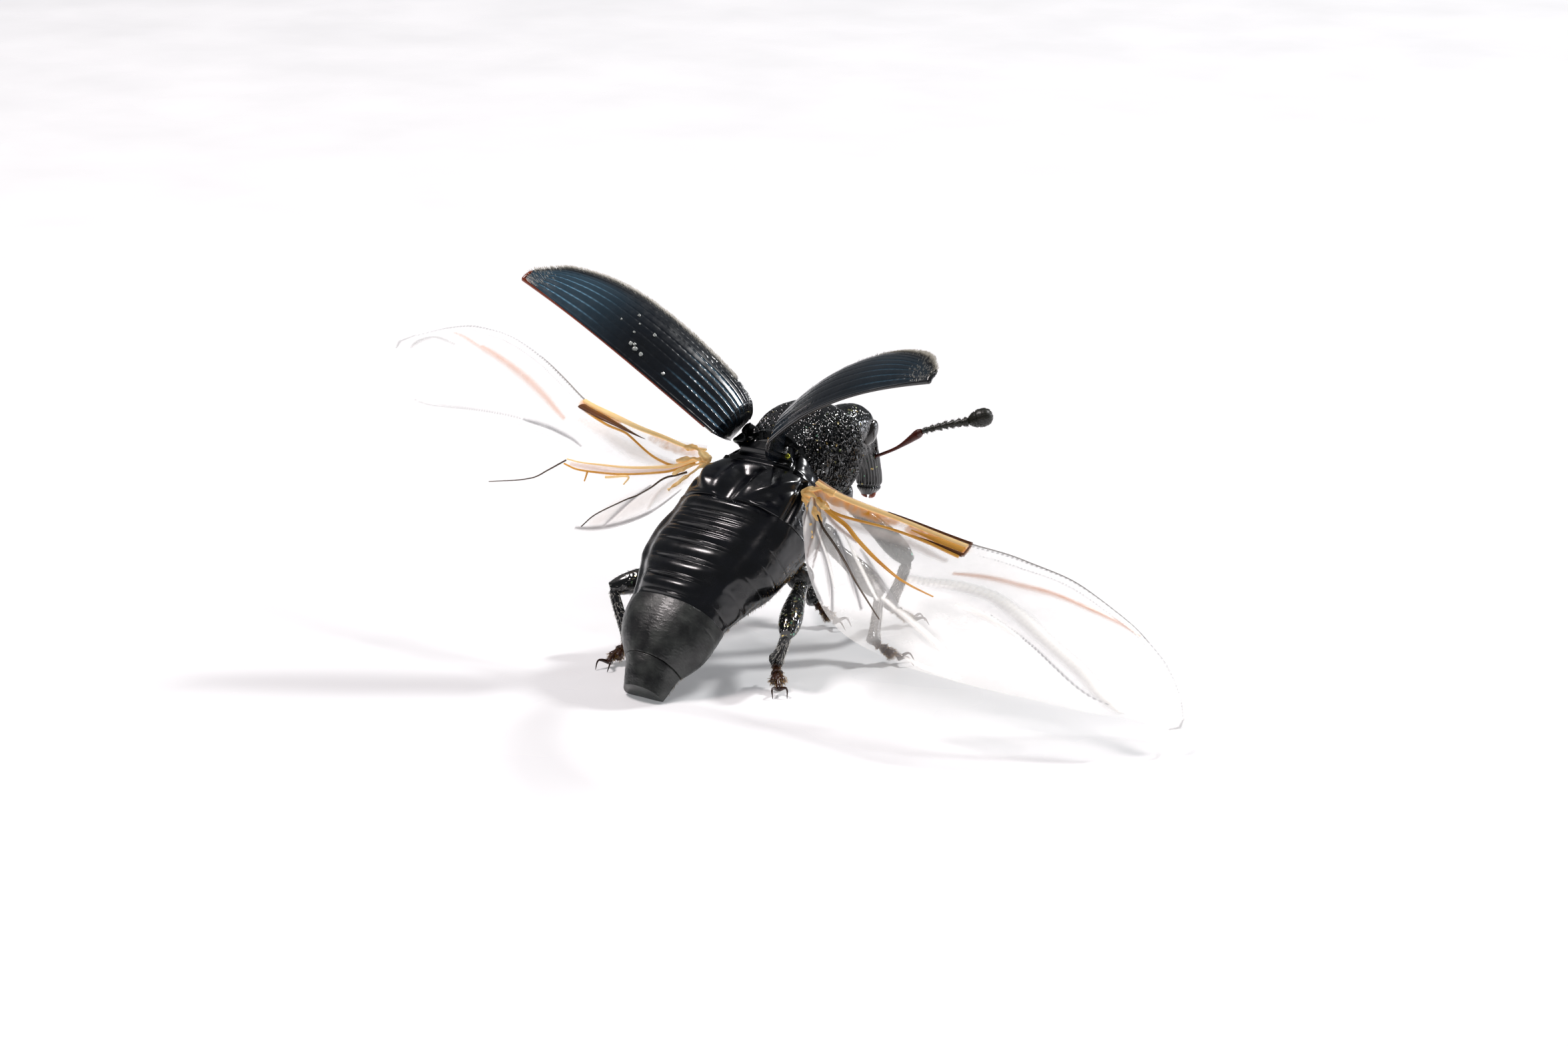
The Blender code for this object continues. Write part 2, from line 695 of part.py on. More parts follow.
def build_leg(word, skin, foot):
    root, knee, ankle, toe = (place(*p) for p in LEGS[word])
    side = 1.0 if word.endswith("left") else -1.0
    thigh = unit(knee - root)
    inner = root - np.array((side * 0.25, 0.0, -0.35))
    trim(limb(f"leg_{word}_coxa", inner, root + thigh * COXA_LONG, (0.9, 1.15, 1.1, 0.8), skin), skin)
    start = root + thigh * (COXA_LONG + GAP)
    thin, thick, end = FEMUR_THICK
    femur = [thin, thin * 1.15, thin * 1.5, thick * 0.94, thick, thick * 0.95, end, end * 0.6]
    trim(limb(f"leg_{word}_femur", start, knee, femur, skin, bend=(0.0, 0.0, 0.15)), skin)
    shin = unit(ankle - knee)
    base, mid, end = TIBIA_THICK
    tibia = [base * 0.8, base, mid, mid, mid, end, end * 0.8]
    limb(f"leg_{word}_tibia", knee + shin * (GAP + end * 0.3), ankle, tibia, skin, bend=(0.0, 0.0, -0.1))
    build_tarsus(word, ankle, toe, foot)


def build_tarsus(word, ankle, toe, mat):
    """Four joints, the third wide and two-lobed, the last slender with a pair of claws."""
    rest = np.array((toe[0], toe[1], SOLE_HEIGHT))
    way = unit(rest - ankle)
    start = ankle + way * (GAP + 0.1)
    claw_root = rest - unit(np.array((way[0], way[1], 0.0))) * CLAW_LONG
    shares = (0.0, 0.1, 0.22, 0.28, 0.36, 0.48, 0.54, 0.62, 0.76, 0.8, 0.86, 1.0)
    widths = (0.5, 0.6, 0.7, 0.55, 0.75, 0.85, 0.6, 0.9, 1.0, 0.55, 0.5, 0.55)
    picked = [start + (claw_root - start) * s for s in shares]
    halves = [(w * TARSUS_WIDE / 2 + 0.06, TARSUS_DEEP / 2) for w in widths]
    up = np.array((0.0, 0.0, 1.0))
    foot = node(f"leg_{word}_tarsus", *tube(sweep(picked, halves, RINGS["leg"], up)), mat)
    forward = unit(np.array((way[0], way[1], 0.0)))
    aside = np.array((-forward[1], forward[0], 0.0))
    claws = []
    for turn in (1, -1):
        a = claw_root - forward * 0.25 + aside * turn * 0.05
        b = claw_root + forward * 0.2 + aside * turn * 0.28 + up * 0.12
        c = claw_root + forward * CLAW_LONG + aside * turn * 0.3 - up * (claw_root[2] - 0.1)
        line = smooth_line((a, b, c), 6)
        sizes = [(s, s) for s in (0.17, 0.17, 0.16, 0.14, 0.11, 0.06)]
        claws.append(node(f"claw_{turn}", *tube(sweep(line, sizes, 5, up)), mat))
    join(foot, claws, "UNION")
    stand_flat(foot, mat)


def main():
    for thing in list(bpy.data.objects):
        bpy.data.objects.remove(thing)
    black = material("black_cuticle", (0.018, 0.019, 0.024), 0.28)
    pitted = material("pitted_cuticle", (0.022, 0.025, 0.028), 0.4)
    case = material("wing_case", (0.012, 0.02, 0.03), 0.25)
    membrane = material("wing_membrane", (0.75, 0.66, 0.5), 0.2, alpha=0.5)
    brown = material("brown_cuticle", (0.07, 0.032, 0.018), 0.4)
    eye = material("eye_lens", (0.012, 0.01, 0.01), 0.15)
    fuzzy = material("antenna_hair", (0.035, 0.032, 0.022), 0.6)
    build_mesothorax(black)
    build_metathorax(black)
    build_abdomen(black)
    build_tail_tip(black)
    build_prothorax(pitted)
    build_head(pitted, eye)
    for side, word in ((1, "left"), (-1, "right")):
        build_antenna(side, word, brown, fuzzy)
        build_elytron(side, word, case)
        build_wing(side, word, membrane)
    for word in LEGS:
        build_leg(word, black, brown)


main()
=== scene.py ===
# Dresses the solids of the weevil: every plate, wing, leg and hair as the photo shows it.
# Sizes are millimetres unless a name says otherwise; meshes are written in metres. The sizes of the
# body repeat those of the part's source. Places are given as (forward of the tail tip, left, up).
import math

import bmesh
import bpy
import numpy as np
from mathutils import Matrix, Vector, noise


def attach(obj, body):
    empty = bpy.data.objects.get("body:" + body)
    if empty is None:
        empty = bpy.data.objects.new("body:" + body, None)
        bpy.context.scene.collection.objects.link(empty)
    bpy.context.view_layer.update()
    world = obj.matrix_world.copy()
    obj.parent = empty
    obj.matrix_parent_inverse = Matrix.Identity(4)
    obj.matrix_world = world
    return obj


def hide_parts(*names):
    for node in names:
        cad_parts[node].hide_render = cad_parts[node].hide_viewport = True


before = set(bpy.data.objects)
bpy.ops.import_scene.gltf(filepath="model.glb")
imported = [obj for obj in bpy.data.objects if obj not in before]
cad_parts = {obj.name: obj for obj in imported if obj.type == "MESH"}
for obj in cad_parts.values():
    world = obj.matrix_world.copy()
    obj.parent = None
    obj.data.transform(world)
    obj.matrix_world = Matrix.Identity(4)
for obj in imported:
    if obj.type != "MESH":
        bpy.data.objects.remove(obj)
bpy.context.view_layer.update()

MM = 0.001
BOX_FORWARD = 8.71
BOX_LEFT = 0.5

# Camera: it looks from behind and from the animal's right. The photo's frame and scale, and where
# the tail tip's floor point lies in it.
PHOTO_WIDE = 2351
PHOTO_HIGH = 1568
PIXELS_PER_MM = 36.0
CAMERA_AZIMUTH = 217.0
CAMERA_HEIGHT = 17.0
CAMERA_LENS = 100.0
CAMERA_SENSOR = 36.0
TAIL_PIXEL = (975.0, 1045.0)

# Hind body: mesothorax, metathorax, abdomen and tail tip, along one axis pitched nose-up.
HIND_FRONT_FORWARD = 9.3
HIND_FRONT_UP = 7.95
HIND_PITCH = 39.5
MESO_REACH = 0.4
MESO_END = 1.2
META_END = 3.5
ABDOMEN_END = 11.1
HIND_LENGTH = 12.4
# Distance back from the front, half width, height above the axis, depth below it, squareness.
HIND_PROFILE = (
    (0.0, 1.75, 1.3, 1.6, 3.2),
    (1.2, 2.55, 1.6, 2.1, 3.2),
    (2.4, 2.95, 2.0, 2.4, 2.8),
    (4.0, 3.15, 2.15, 2.25, 2.4),
    (6.0, 3.2, 2.15, 1.75, 2.3),
    (8.0, 2.4, 2.0, 1.0, 2.3),
    (10.0, 1.9, 1.75, 0.7, 2.3),
    (11.2, 1.3, 1.45, 0.35, 2.3),
    (12.4, 1.0, 0.85, 0.1, 2.3),
)
# Distance back from the front, and how far the body bends to the left there.
HIND_BEND = ((0.0, 0.0), (3.5, 0.15), (6.0, 0.5), (9.0, 0.55), (11.0, 0.3), (12.4, 0.1))
# Front edges of the back plates, and of the large last one; how far their folds stand up.
PLATE_EDGES = (3.5, 4.42, 5.15, 5.95, 6.8, 7.65, 8.55, 11.1)
PLATE_STEP = 0.11
PLATE_SIZES = (2.2, 0.5, 1.1, 0.8, 1.1, 1.6)
FOLD_STEP = 0.1
# The furrow beside the back plates and the rim beyond it, as angles from the top of the ring.
FURROW_TURN = 0.74
RIM_TURN = 0.92

# Prothorax, nearly level.
PRO_BASE_FORWARD = 8.5
PRO_BASE_UP = 8.05
PRO_LENGTH = 4.7
PRO_PITCH = 3.0
PRO_YAW = 2.0
PRO_POWER = 2.15
# How far the front rim leans forward for each millimetre of height.
PRO_LEAN = 0.1
PRO_PROFILE = (
    (0.0, 1.55, 1.45, 1.5),
    (0.35, 1.9, 1.62, 1.75),
    (1.35, 2.15, 1.87, 1.95),
    (2.2, 2.4, 2.1, 2.2),
    (3.2, 2.35, 2.0, 2.25),
    (4.0, 1.85, 1.55, 2.1),
    (4.7, 1.35, 1.15, 1.95),
)
PIT_SIZE = 0.2
PIT_DEPTH = 0.075

# Head and snout: one curved axis, from inside the prothorax's front forward and then down.
HEAD_AXIS = (
    (-0.5, 0.0, 0.1),
    (0.6, 0.0, 0.15),
    (1.15, 0.0, 0.0),
    (1.75, 0.0, -0.9),
    (2.05, 0.0, -1.8),
    (2.2, 0.0, -2.66),
    (2.1, 0.0, -3.35),
)
# Part of the way along the axis, half width, half depth.
HEAD_PROFILE = (
    (0.0, 1.12, 1.12),
    (0.1, 1.1, 1.1),
    (0.2, 1.05, 1.05),
    (0.32, 0.92, 0.92),
    (0.47, 0.72, 0.72),
    (0.59, 0.6, 0.6),
    (0.77, 0.57, 0.56),
    (0.94, 0.6, 0.5),
    (1.0, 0.4, 0.3),
)
HEAD_GAP = 0.3
EYE_SHARE = 0.34
EYE_LONG = 0.62
EYE_WIDE = 0.42
EYE_OUT = 0.24
EYE_SINK = 0.05
EYE_SHIFT = 0.1

# Antenna, from its pit on the side of the snout: elbow, end of the whip, end of the club.
ANTENNA_SHARE = 0.66
ANTENNA_REACH = {
    "left": ((0.5, 1.6, 0.3), (0.9, 3.0, 0.3), (1.2, 3.9, 0.2)),
    "right": ((0.26, 1.93, 1.51), (1.94, 3.23, 1.8), (2.47, 4.13, 2.14)),
}

# Wing cases, from the hinge on the mesothorax; the two are held a little differently.
ELYTRON_LENGTH = 11.2
ELYTRON_HINGE = {"left": (2.0, -0.5, 1.3), "right": (0.55, 0.2, 1.5)}
ELYTRON_CORNER = {"left": (1.3, 1.24, 3.05), "right": (1.15, 1.8, 3.41)}
ELYTRON_SPREAD = {"left": 103.4, "right": 106.4}
ELYTRON_LIFT = {"left": 35.2, "right": 31.6}
ELYTRON_TWIST = {"left": 47.7, "right": 54.3}
ELYTRON_BOW = {"left": 1.12, "right": 1.5}
ELYTRON_HUMP = {"left": 0.0, "right": 0.5}
ELYTRON_SCALE = {"left": 1.05, "right": 0.94}
ELYTRON_ARC = 82.0
ELYTRON_DROP = 2.1
ELYTRON_PLAN = ((0.0, 2.3), (0.1, 2.75), (0.25, 3.0), (0.5, 3.1), (0.72, 2.8), (0.9, 1.9), (1.0, 0.6))
ELYTRON_WIDE = 3.1
ELYTRON_ROOT = {"left": 1.3, "right": 1.5}
# Share of the length that narrows to the hinge, and where across the base the hinge lies.
ELYTRON_NECK = {"left": 0.03, "right": 0.13}
ELYTRON_HINGE_AT = 0.55
ELYTRON_THICK = 0.22
# Ridges across a wing case, with a groove between each two of them.
INTERVALS = 10
STRIA_DEPTH = 0.07
STRIA_PIT = 0.3

# Hind wings: root on the metathorax, end of the radial cell, tip, from the root.
WING_ROOT = {"left": (3.05, 1.5, 1.25), "right": (3.05, 1.9, 1.1)}
WING_REACH = {
    "left": ((0.19, 4.45, 0.38), (3.54, 19.26, 2.23)),
    "right": ((0.39, 11.18, -2.49), (1.66, 18.2, -6.86)),
}
WING_DROOP = {"left": (49.6, 16.7), "right": (51.4, 2.4)}
# Share of the span, leading edge and rear edge back from the span line.
WING_PLAN = (
    (0.0, -0.81, 1.02),
    (0.07, -0.65, 3.14),
    (0.2, -0.74, 4.95),
    (0.37, -0.89, 5.67),
    (0.5, -1.41, 5.76),
    (0.65, -1.95, 5.31),
    (0.8, -1.99, 4.0),
    (0.92, -1.13, 2.3),
    (1.0, 0.9, 1.7),
)
WING_SPAN = 19.7
WING_CAMBER = 0.35
WING_LOW = 0.7
WING_THICK = 0.03
# Steps along a path on a wing.
PATH_STEPS = 60

# Legs: root, knee, ankle and claw tip of each.
LEGS = {
    "front_left": ((11.7, 0.95, 6.3), (12.9, 2.6, 3.6), (11.9, 0.3, 0.95), (12.2, -1.3, 0.0)),
    "front_right": ((11.7, -0.95, 6.3), (13.4, -3.6, 3.3), (13.5, -2.5, 0.9), (14.9, -3.6, 0.0)),
    "middle_left": ((9.4, 1.8, 5.0), (10.3, 4.6, 3.0), (9.4, 5.2, 0.9), (9.7, 6.9, 0.0)),
    "middle_right": ((9.4, -1.8, 5.0), (10.6, -4.1, 2.6), (9.2, -4.8, 0.9), (10.1, -6.3, 0.0)),
    "hind_left": ((7.8, 2.1, 3.4), (4.2, 5.4, 2.65), (3.48, 3.91, 0.75), (1.3, 3.7, 0.0)),
    "hind_right": ((8.0, -2.0, 3.55), (4.02, -4.1, 2.53), (4.53, -3.13, 0.98), (3.0, -4.5, 0.0)),
}
FEMUR_PLAN = ((0.0, 0.5), (0.3, 0.7), (0.55, 0.9), (0.72, 1.0), (0.85, 0.93), (0.95, 0.7), (1.0, 0.5))
TIBIA_PLAN = ((0.0, 0.34), (0.06, 0.46), (0.5, 0.5), (0.85, 0.6), (0.97, 0.74), (1.0, 0.5))
SOLE_HEIGHT = 0.12
CLAW_LONG = 0.55

# Rows and columns of points in the larger pieces: more where the photo shows finer relief.
GRIDS = {
    "mesothorax": (120, 200),
    "metathorax": (150, 220),
    "abdomen": (350, 270),
    "last_back_plate": (150, 200),
    "tail_plate": (80, 160),
    "belly_fringe": (160, 240),
    "prothorax": (230, 420),
    "head": (240, 190),
    "elytron": (220, 200),
    "hindwing": (280, 160),
    "leg": (110, 56),
}

# Floor and light. Lamps: name, place, aim and size in metres, watts, tint.
FLOOR_HALF = 1.5
FLOOR_GLOW = 0.2
ROOM_LIGHT = 0.16
LAMPS = (
    ("overhead_lamp", (0.125, 0.066, 0.33), (0.0, 0.0, 0.0), 0.095, 0.85, "#fff6f6"),
    ("right_lamp", (-0.13, -0.33, 0.33), (0.0, 0.0, 0.006), 0.05, 1.4, "#ffffff"),
    ("low_lamp", (-0.19, -0.37, 0.07), (0.0, 0.0, 0.006), 0.05, 0.25, "#f2f6ff"),
)

UP = np.array((0.0, 0.0, 1.0))
SIDES = {"left": 1, "right": -1}


def curve(table, places):
    """Values of a table at some places along it, on a smooth curve through its rows."""
    rows = np.array(table, float)
    keys, values = rows[:, 0], rows[:, 1:]
    places = np.clip(np.asarray(places, float), keys[0], keys[-1])
    i = np.clip(np.searchsorted(keys, places) - 1, 0, len(keys) - 2)
    span = (keys[i + 1] - keys[i])[..., None]
    t = (places - keys[i])[..., None] / span
    low, high = np.maximum(i - 1, 0), np.minimum(i + 2, len(keys) - 1)
    slope_a = (values[i + 1] - values[low]) / (keys[i + 1] - keys[low])[..., None] * span
    slope_b = (values[high] - values[i]) / (keys[high] - keys[i])[..., None] * span
    t2, t3 = t * t, t * t * t
    return (
        (2 * t3 - 3 * t2 + 1) * values[i]
        + (t3 - 2 * t2 + t) * slope_a
        + (3 * t2 - 2 * t3) * values[i + 1]
        + (t3 - t2) * slope_b
    )


def place(forward, left, up):
    """World point, in millimetres, from a place given from the tail tip."""
    return np.array((left - BOX_LEFT, BOX_FORWARD - forward, up))


def unit(vectors):
    """The same directions, each of length one."""
    return vectors / np.maximum(np.linalg.norm(vectors, axis=-1, keepdims=True), 1e-9)


def bump_at(values, centre, wide):
    """A smooth bell of height one round a place."""
    return np.exp(-(((values - centre) / wide) ** 2))


def rise(values, low, high):
    """Goes smoothly from zero at low to one at high."""
    t = np.clip((values - low) / (high - low), 0.0, 1.0)
    return t * t * (3.0 - 2.0 * t)


def fall(values, low, high):
    """Goes smoothly from one at low to zero at high."""
    return 1.0 - rise(values, low, high)


def plateau(values, low, full, begin, end):
    """Goes smoothly from zero to one over the first two places, and back over the last two."""
    return rise(values, low, full) * fall(values, begin, end)


def grain(points, size, seed=0):
    """Smooth noise between about -1 and 1 at each point, of a size in millimetres."""
    flat = np.asarray(points).reshape(-1, 3) / size + seed * 17.3
    values = [noise.noise(Vector(p)) for p in flat]
    return np.array(values).reshape(np.asarray(points).shape[:-1])


def cells(points, size, seed=0):
    """Distances to the nearest and the next cell centre of a scatter of a size in millimetres."""
    flat = np.asarray(points).reshape(-1, 3) / size + seed * 11.7
    near = np.array([noise.voronoi(Vector(p))[0][:2] for p in flat])
    shape = np.asarray(points).shape[:-1]
    return near[:, 0].reshape(shape), near[:, 1].reshape(shape)


def dimples(points, size, low=0.1, high=0.5, seed=0):
    """A scatter of round pits of a size in millimetres: one in the middle of a pit, zero between."""
    return fall(cells(points, size, seed)[0], low, high)


class Axes:
    """A pitched and turned frame: x to the left, y to the back, z up."""

    def __init__(self, origin, pitch, yaw=0.0):
        p, w = math.radians(pitch), math.radians(yaw)
        back = np.array((0.0, math.cos(p), -math.sin(p)))
        up = np.array((0.0, math.sin(p), math.cos(p)))
        turn = np.array(
            ((math.cos(w), -math.sin(w), 0.0), (math.sin(w), math.cos(w), 0.0), (0.0, 0.0, 1.0))
        )
        self.origin = np.array(origin, float)
        self.rows = np.array((turn @ (1.0, 0.0, 0.0), turn @ back, turn @ up))

    def at(self, x, y, z):
        return self.origin + np.stack(np.broadcast_arrays(x, y, z), axis=-1) @ self.rows


HIND = Axes(place(HIND_FRONT_FORWARD, 0.0, HIND_FRONT_UP), HIND_PITCH)
PRO = Axes(place(PRO_BASE_FORWARD, 0.0, PRO_BASE_UP), PRO_PITCH, PRO_YAW)


def on_hind(word, spot):
    """World point of a spot of the hind body, given for the left and mirrored for the right."""
    return HIND.at(SIDES[word] * spot[0], *spot[1:])


def ring_angles(count):
    """Even angles round a ring, from the left side over the top."""
    return np.linspace(0.0, 2.0 * math.pi, count, endpoint=False)


def rounded(half_width, above, below, power, angles):
    """Points (x, z) of rounded sections, one row for each size, from the left side over the top."""
    c, s = np.cos(angles), np.sin(angles)
    sharp = 2.0 / np.broadcast_to(power, half_width.shape)[:, None]
    x = half_width[:, None] * np.sign(c) * np.abs(c) ** sharp
    tall = np.where(s > 0, above[:, None], below[:, None])
    return x, tall * np.sign(s) * np.abs(s) ** sharp


def normals(grid, around):
    """Unit normals of a grid of points; around says that its columns close into a ring."""
    along = np.gradient(grid, axis=0)
    if around:
        across = (np.roll(grid, -1, axis=1) - np.roll(grid, 1, axis=1)) / 2.0
    else:
        across = np.gradient(grid, axis=1)
    return unit(np.cross(along, across))


def dress(name, points, faces, finish, replaced, slot, smooth=35.0, uv=None, uv_name="OFBake"):
    """A mesh object in metres that rides on the body and stands for its solids."""
    mesh = bpy.data.meshes.new(name)
    mesh.from_pydata((np.asarray(points) * MM).tolist(), [], faces)
    work = bmesh.new()
    work.from_mesh(mesh)
    bmesh.ops.recalc_face_normals(work, faces=work.faces)
    work.to_mesh(mesh)
    work.free()
    mesh.shade_smooth()
    if smooth < 180.0:
        mesh.set_sharp_from_angle(angle=math.radians(smooth))
    if uv is not None:
        layer = mesh.uv_layers.new(name=uv_name)
        corner = np.zeros(len(mesh.loops), np.int32)
        mesh.loops.foreach_get("vertex_index", corner)
        layer.data.foreach_set("uv", np.asarray(uv, np.float32)[corner].ravel())
    mesh.materials.append(finish)
    piece = bpy.data.objects.new(name, mesh)
    bpy.context.scene.collection.objects.link(piece)
    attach(piece, "root")
    if replaced:
        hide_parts(*replaced)
    return piece


def paint(piece, name, values):
    """Keeps a number for each point of a piece, for its finish to read."""
    layer = piece.data.attributes.new(name, "FLOAT", "POINT")
    layer.data.foreach_set("value", np.asarray(values, np.float32))


def lattice(rows, cols, around, first=0):
    """Faces of a grid of points."""
    last = cols if around else cols - 1
    i, j = np.meshgrid(np.arange(rows - 1), np.arange(last), indexing="ij")
    a, b = i * cols + j, i * cols + (j + 1) % cols
    quads = np.stack((a, a + cols, b + cols, b), axis=-1).reshape(-1, 4) + first
    return quads.tolist()


def tube(grid, first=0):
    """Points and faces of a closed tube through rings of points, its ends drawn to a point."""
    rows, cols = grid.shape[:2]
    points = np.vstack((grid.reshape(-1, 3), grid[0].mean(0), grid[-1].mean(0)))
    faces = lattice(rows, cols, True, first)
    front, rear = first + rows * cols, first + rows * cols + 1
    last = first + (rows - 1) * cols
    for k in range(cols):
        j = (k + 1) % cols
        faces.append((front, first + k, first + j))
        faces.append((rear, last + j, last + k))
    return points, faces


def shell(outer, inner):
    """Points and faces of a thin closed sheet between two grids of points."""
    rows, cols = outer.shape[:2]
    count = rows * cols
    points = np.vstack((outer.reshape(-1, 3), inner.reshape(-1, 3)))
    faces = lattice(rows, cols, False)
    faces += [tuple(reversed(f)) for f in lattice(rows, cols, False, count)]
    rim = list(range(cols)) + [i * cols + cols - 1 for i in range(1, rows)]
    rim += [(rows - 1) * cols + j for j in range(cols - 2, -1, -1)]
    rim += [i * cols for i in range(rows - 2, 0, -1)]
    for k, a in enumerate(rim):
        b = rim[(k + 1) % len(rim)]
        faces.append((b, a, a + count, b + count))
    return points, faces


def merge(parts):
    """Points and faces of several parts as one."""
    points, faces, shift = [], [], 0
    for some, links in parts:
        points.append(np.asarray(some))
        faces += [tuple(v + shift for v in f) for f in links]
        shift += len(some)
    return np.vstack(points), faces


def smooth_line(anchors, count):
    """Points along a smooth curve through a few anchors, by share of its length."""
    anchors = np.array(anchors, float)
    steps = np.concatenate(((0.0,), np.cumsum(np.linalg.norm(np.diff(anchors, axis=0), axis=1))))
    return curve(np.column_stack((steps / steps[-1], anchors)), np.linspace(0.0, 1.0, count))


def sweep(line, half_wide, half_deep, sides, reference):
    """A grid of rings across a line; their depth lies along the reference."""
    along = unit(np.gradient(line, axis=0))
    wide = unit(np.cross(along, reference))
    deep = np.cross(wide, along)
    a = ring_angles(sides)
    half_wide, half_deep = np.broadcast_to(half_wide, len(line)), np.broadcast_to(half_deep, len(line))
    return (
        line[:, None]
        + wide[:, None] * (half_wide[:, None] * np.cos(a))[..., None]
        + deep[:, None] * (half_deep[:, None] * np.sin(a))[..., None]
    )


def hairs(name, roots, ways, ends, thick, patches, finish, slot):
    """Fine tapered hairs in one mesh: each starts its way from its root and bends to its end."""
    roots, ways, ends = (np.asarray(v, float) for v in (roots, ways, ends))
    count = len(roots)
    thick = np.broadcast_to(thick, count)[:, None, None]
    ahead = unit(ends - roots)
    aside = unit(np.cross(ahead, UP + 0.01))
    deep = np.cross(aside, ahead)
    middle = (roots + ends) / 2.0 + ways * (np.linalg.norm(ends - roots, axis=1) * 0.22)[:, None]
    a = ring_angles(3)
    ring = aside[:, None] * np.cos(a)[None, :, None] + deep[:, None] * np.sin(a)[None, :, None]
    low = (roots - ways * 0.03)[:, None] + ring * thick / 2.0
    mid = middle[:, None] + ring * thick * 0.36
    points = np.concatenate((low, mid, ends[:, None]), axis=1).reshape(-1, 3)
    one = []
    for k in range(3):
        j = (k + 1) % 3
        one += [(k, j, 3 + j), (k, 3 + j, 3 + k), (3 + k, 3 + j, 6)]
    one.append((2, 1, 0))
    faces = (np.array(one)[None] + (np.arange(count) * 7)[:, None, None]).reshape(-1, 3).tolist()
    spot = 0.0015
    fan = np.column_stack((np.cos(np.arange(7) * 0.9), np.sin(np.arange(7) * 0.9))) * spot
    uv = (np.asarray(patches)[:, None] + fan[None]).reshape(-1, 2)
    return dress(name, points, faces, finish, (), slot, smooth=180.0, uv=uv)


def linear(code, alpha=1.0):
    """The linear colour of an sRGB hex value."""
    parts = [int(code[k : k + 2], 16) / 255.0 for k in (1, 3, 5)]
    return (*[c / 12.92 if c <= 0.04045 else ((c + 0.055) / 1.055) ** 2.4 for c in parts], alpha)


def add(finish, kind, settings=None, links=None):
    """Adds one node to a finish, with its settings and its links."""
    made = finish.node_tree.nodes.new(kind)
    for key, value in (settings or {}).items():
        if isinstance(key, str) and key not in made.inputs:
            setattr(made, key, value)
    for key, value in (settings or {}).items():
        if isinstance(key, int) or key in made.inputs:
            made.inputs[key].default_value = value
    for key, source in (links or {}).items():
        finish.node_tree.links.new(source, made.inputs[key])
    return made


def finish_of(name, settings):
    """A new finish with its shader set: its material, shader node and place node."""
    made = bpy.data.materials.new(name)
    made.use_nodes = True
    shader = made.node_tree.nodes["Principled BSDF"]
    for key, value in settings.items():
        shader.inputs[key].default_value = value
    where = add(made, "ShaderNodeTexCoord")
    return made, shader, where.outputs["Object"]


def per_metre(size_mm):
    """Pattern scale for a texture node that works in metres."""
    return 1.0 / (size_mm * MM)


def feed(finish, source, shader, *sockets):
    """Leads an output of a node into inputs of the shader."""
    for socket in sockets:
        finish.node_tree.links.new(source, shader.inputs[socket])


def clouds(finish, where, size_mm, detail):
    """Soft noise of a size in millimetres."""
    settings = {"Scale": per_metre(size_mm), "Detail": detail}
    return add(finish, "ShaderNodeTexNoise", settings, {"Vector": where}).outputs["Fac"]


def outlines(finish, where, size_mm, uneven=1.0):
    """Distance to the outlines of a net of cells of a size in millimetres."""
    settings = {"feature": "DISTANCE_TO_EDGE", "Scale": per_metre(size_mm), "Randomness": uneven}
    return add(finish, "ShaderNodeTexVoronoi", settings, {"Vector": where}).outputs["Distance"]


def ranged(finish, source, low, high, first=0.0, last=1.0):
    """A value stretched from between one pair of limits to between another."""
    settings = {"From Min": low, "From Max": high, "To Min": first, "To Max": last}
    return add(finish, "ShaderNodeMapRange", settings, {"Value": source}).outputs["Result"]


def mixed(finish, share, low, high):
    """A colour between two, by a share: each of the two is a hex value or the output of a node."""
    settings, links = {"data_type": "RGBA"}, {0: share}
    for key, tone in ((6, low), (7, high)):
        if isinstance(tone, str):
            settings[key] = linear(tone)
        else:
            links[key] = tone
    return add(finish, "ShaderNodeMix", settings, links).outputs[2]


def painted(finish, name):
    """The numbers that paint keeps for the points of a piece."""
    return add(finish, "ShaderNodeAttribute", {"attribute_name": name}).outputs["Fac"]


def relief(finish, shader, height, strength, deep_mm):
    """Relief too fine to model, from a height."""
    settings = {"Strength": strength, "Distance": deep_mm * MM}
    bump = add(finish, "ShaderNodeBump", settings, {"Height": height})
    feed(finish, bump.outputs["Normal"], shader, "Normal")


# Finishes


def black_chitin(name, tone, rough, mesh_mm, bump):
    """Sclerotised chitin, hardened smooth: near-black with a cold cast and a waxy, streaked gloss."""
    made, shader, where = finish_of(name, {"IOR": 1.56, "Coat Weight": 0.15, "Coat Roughness": 0.05})
    patchy = ranged(made, clouds(made, where, 0.9, 6.0), 0.38, 0.66)
    feed(made, mixed(made, patchy, *tone), shader, "Base Color")
    wax = clouds(made, where, 0.5, 5.0)
    feed(made, ranged(made, wax, 0.35, 0.7, *rough), shader, "Roughness")
    # The real network of cell outlines is about 0.015 mm across: it is drawn coarser so that it shows.
    net = outlines(made, where, mesh_mm)
    relief(made, shader, ranged(made, net, 0.0, 0.12), bump, 0.003)
    return made


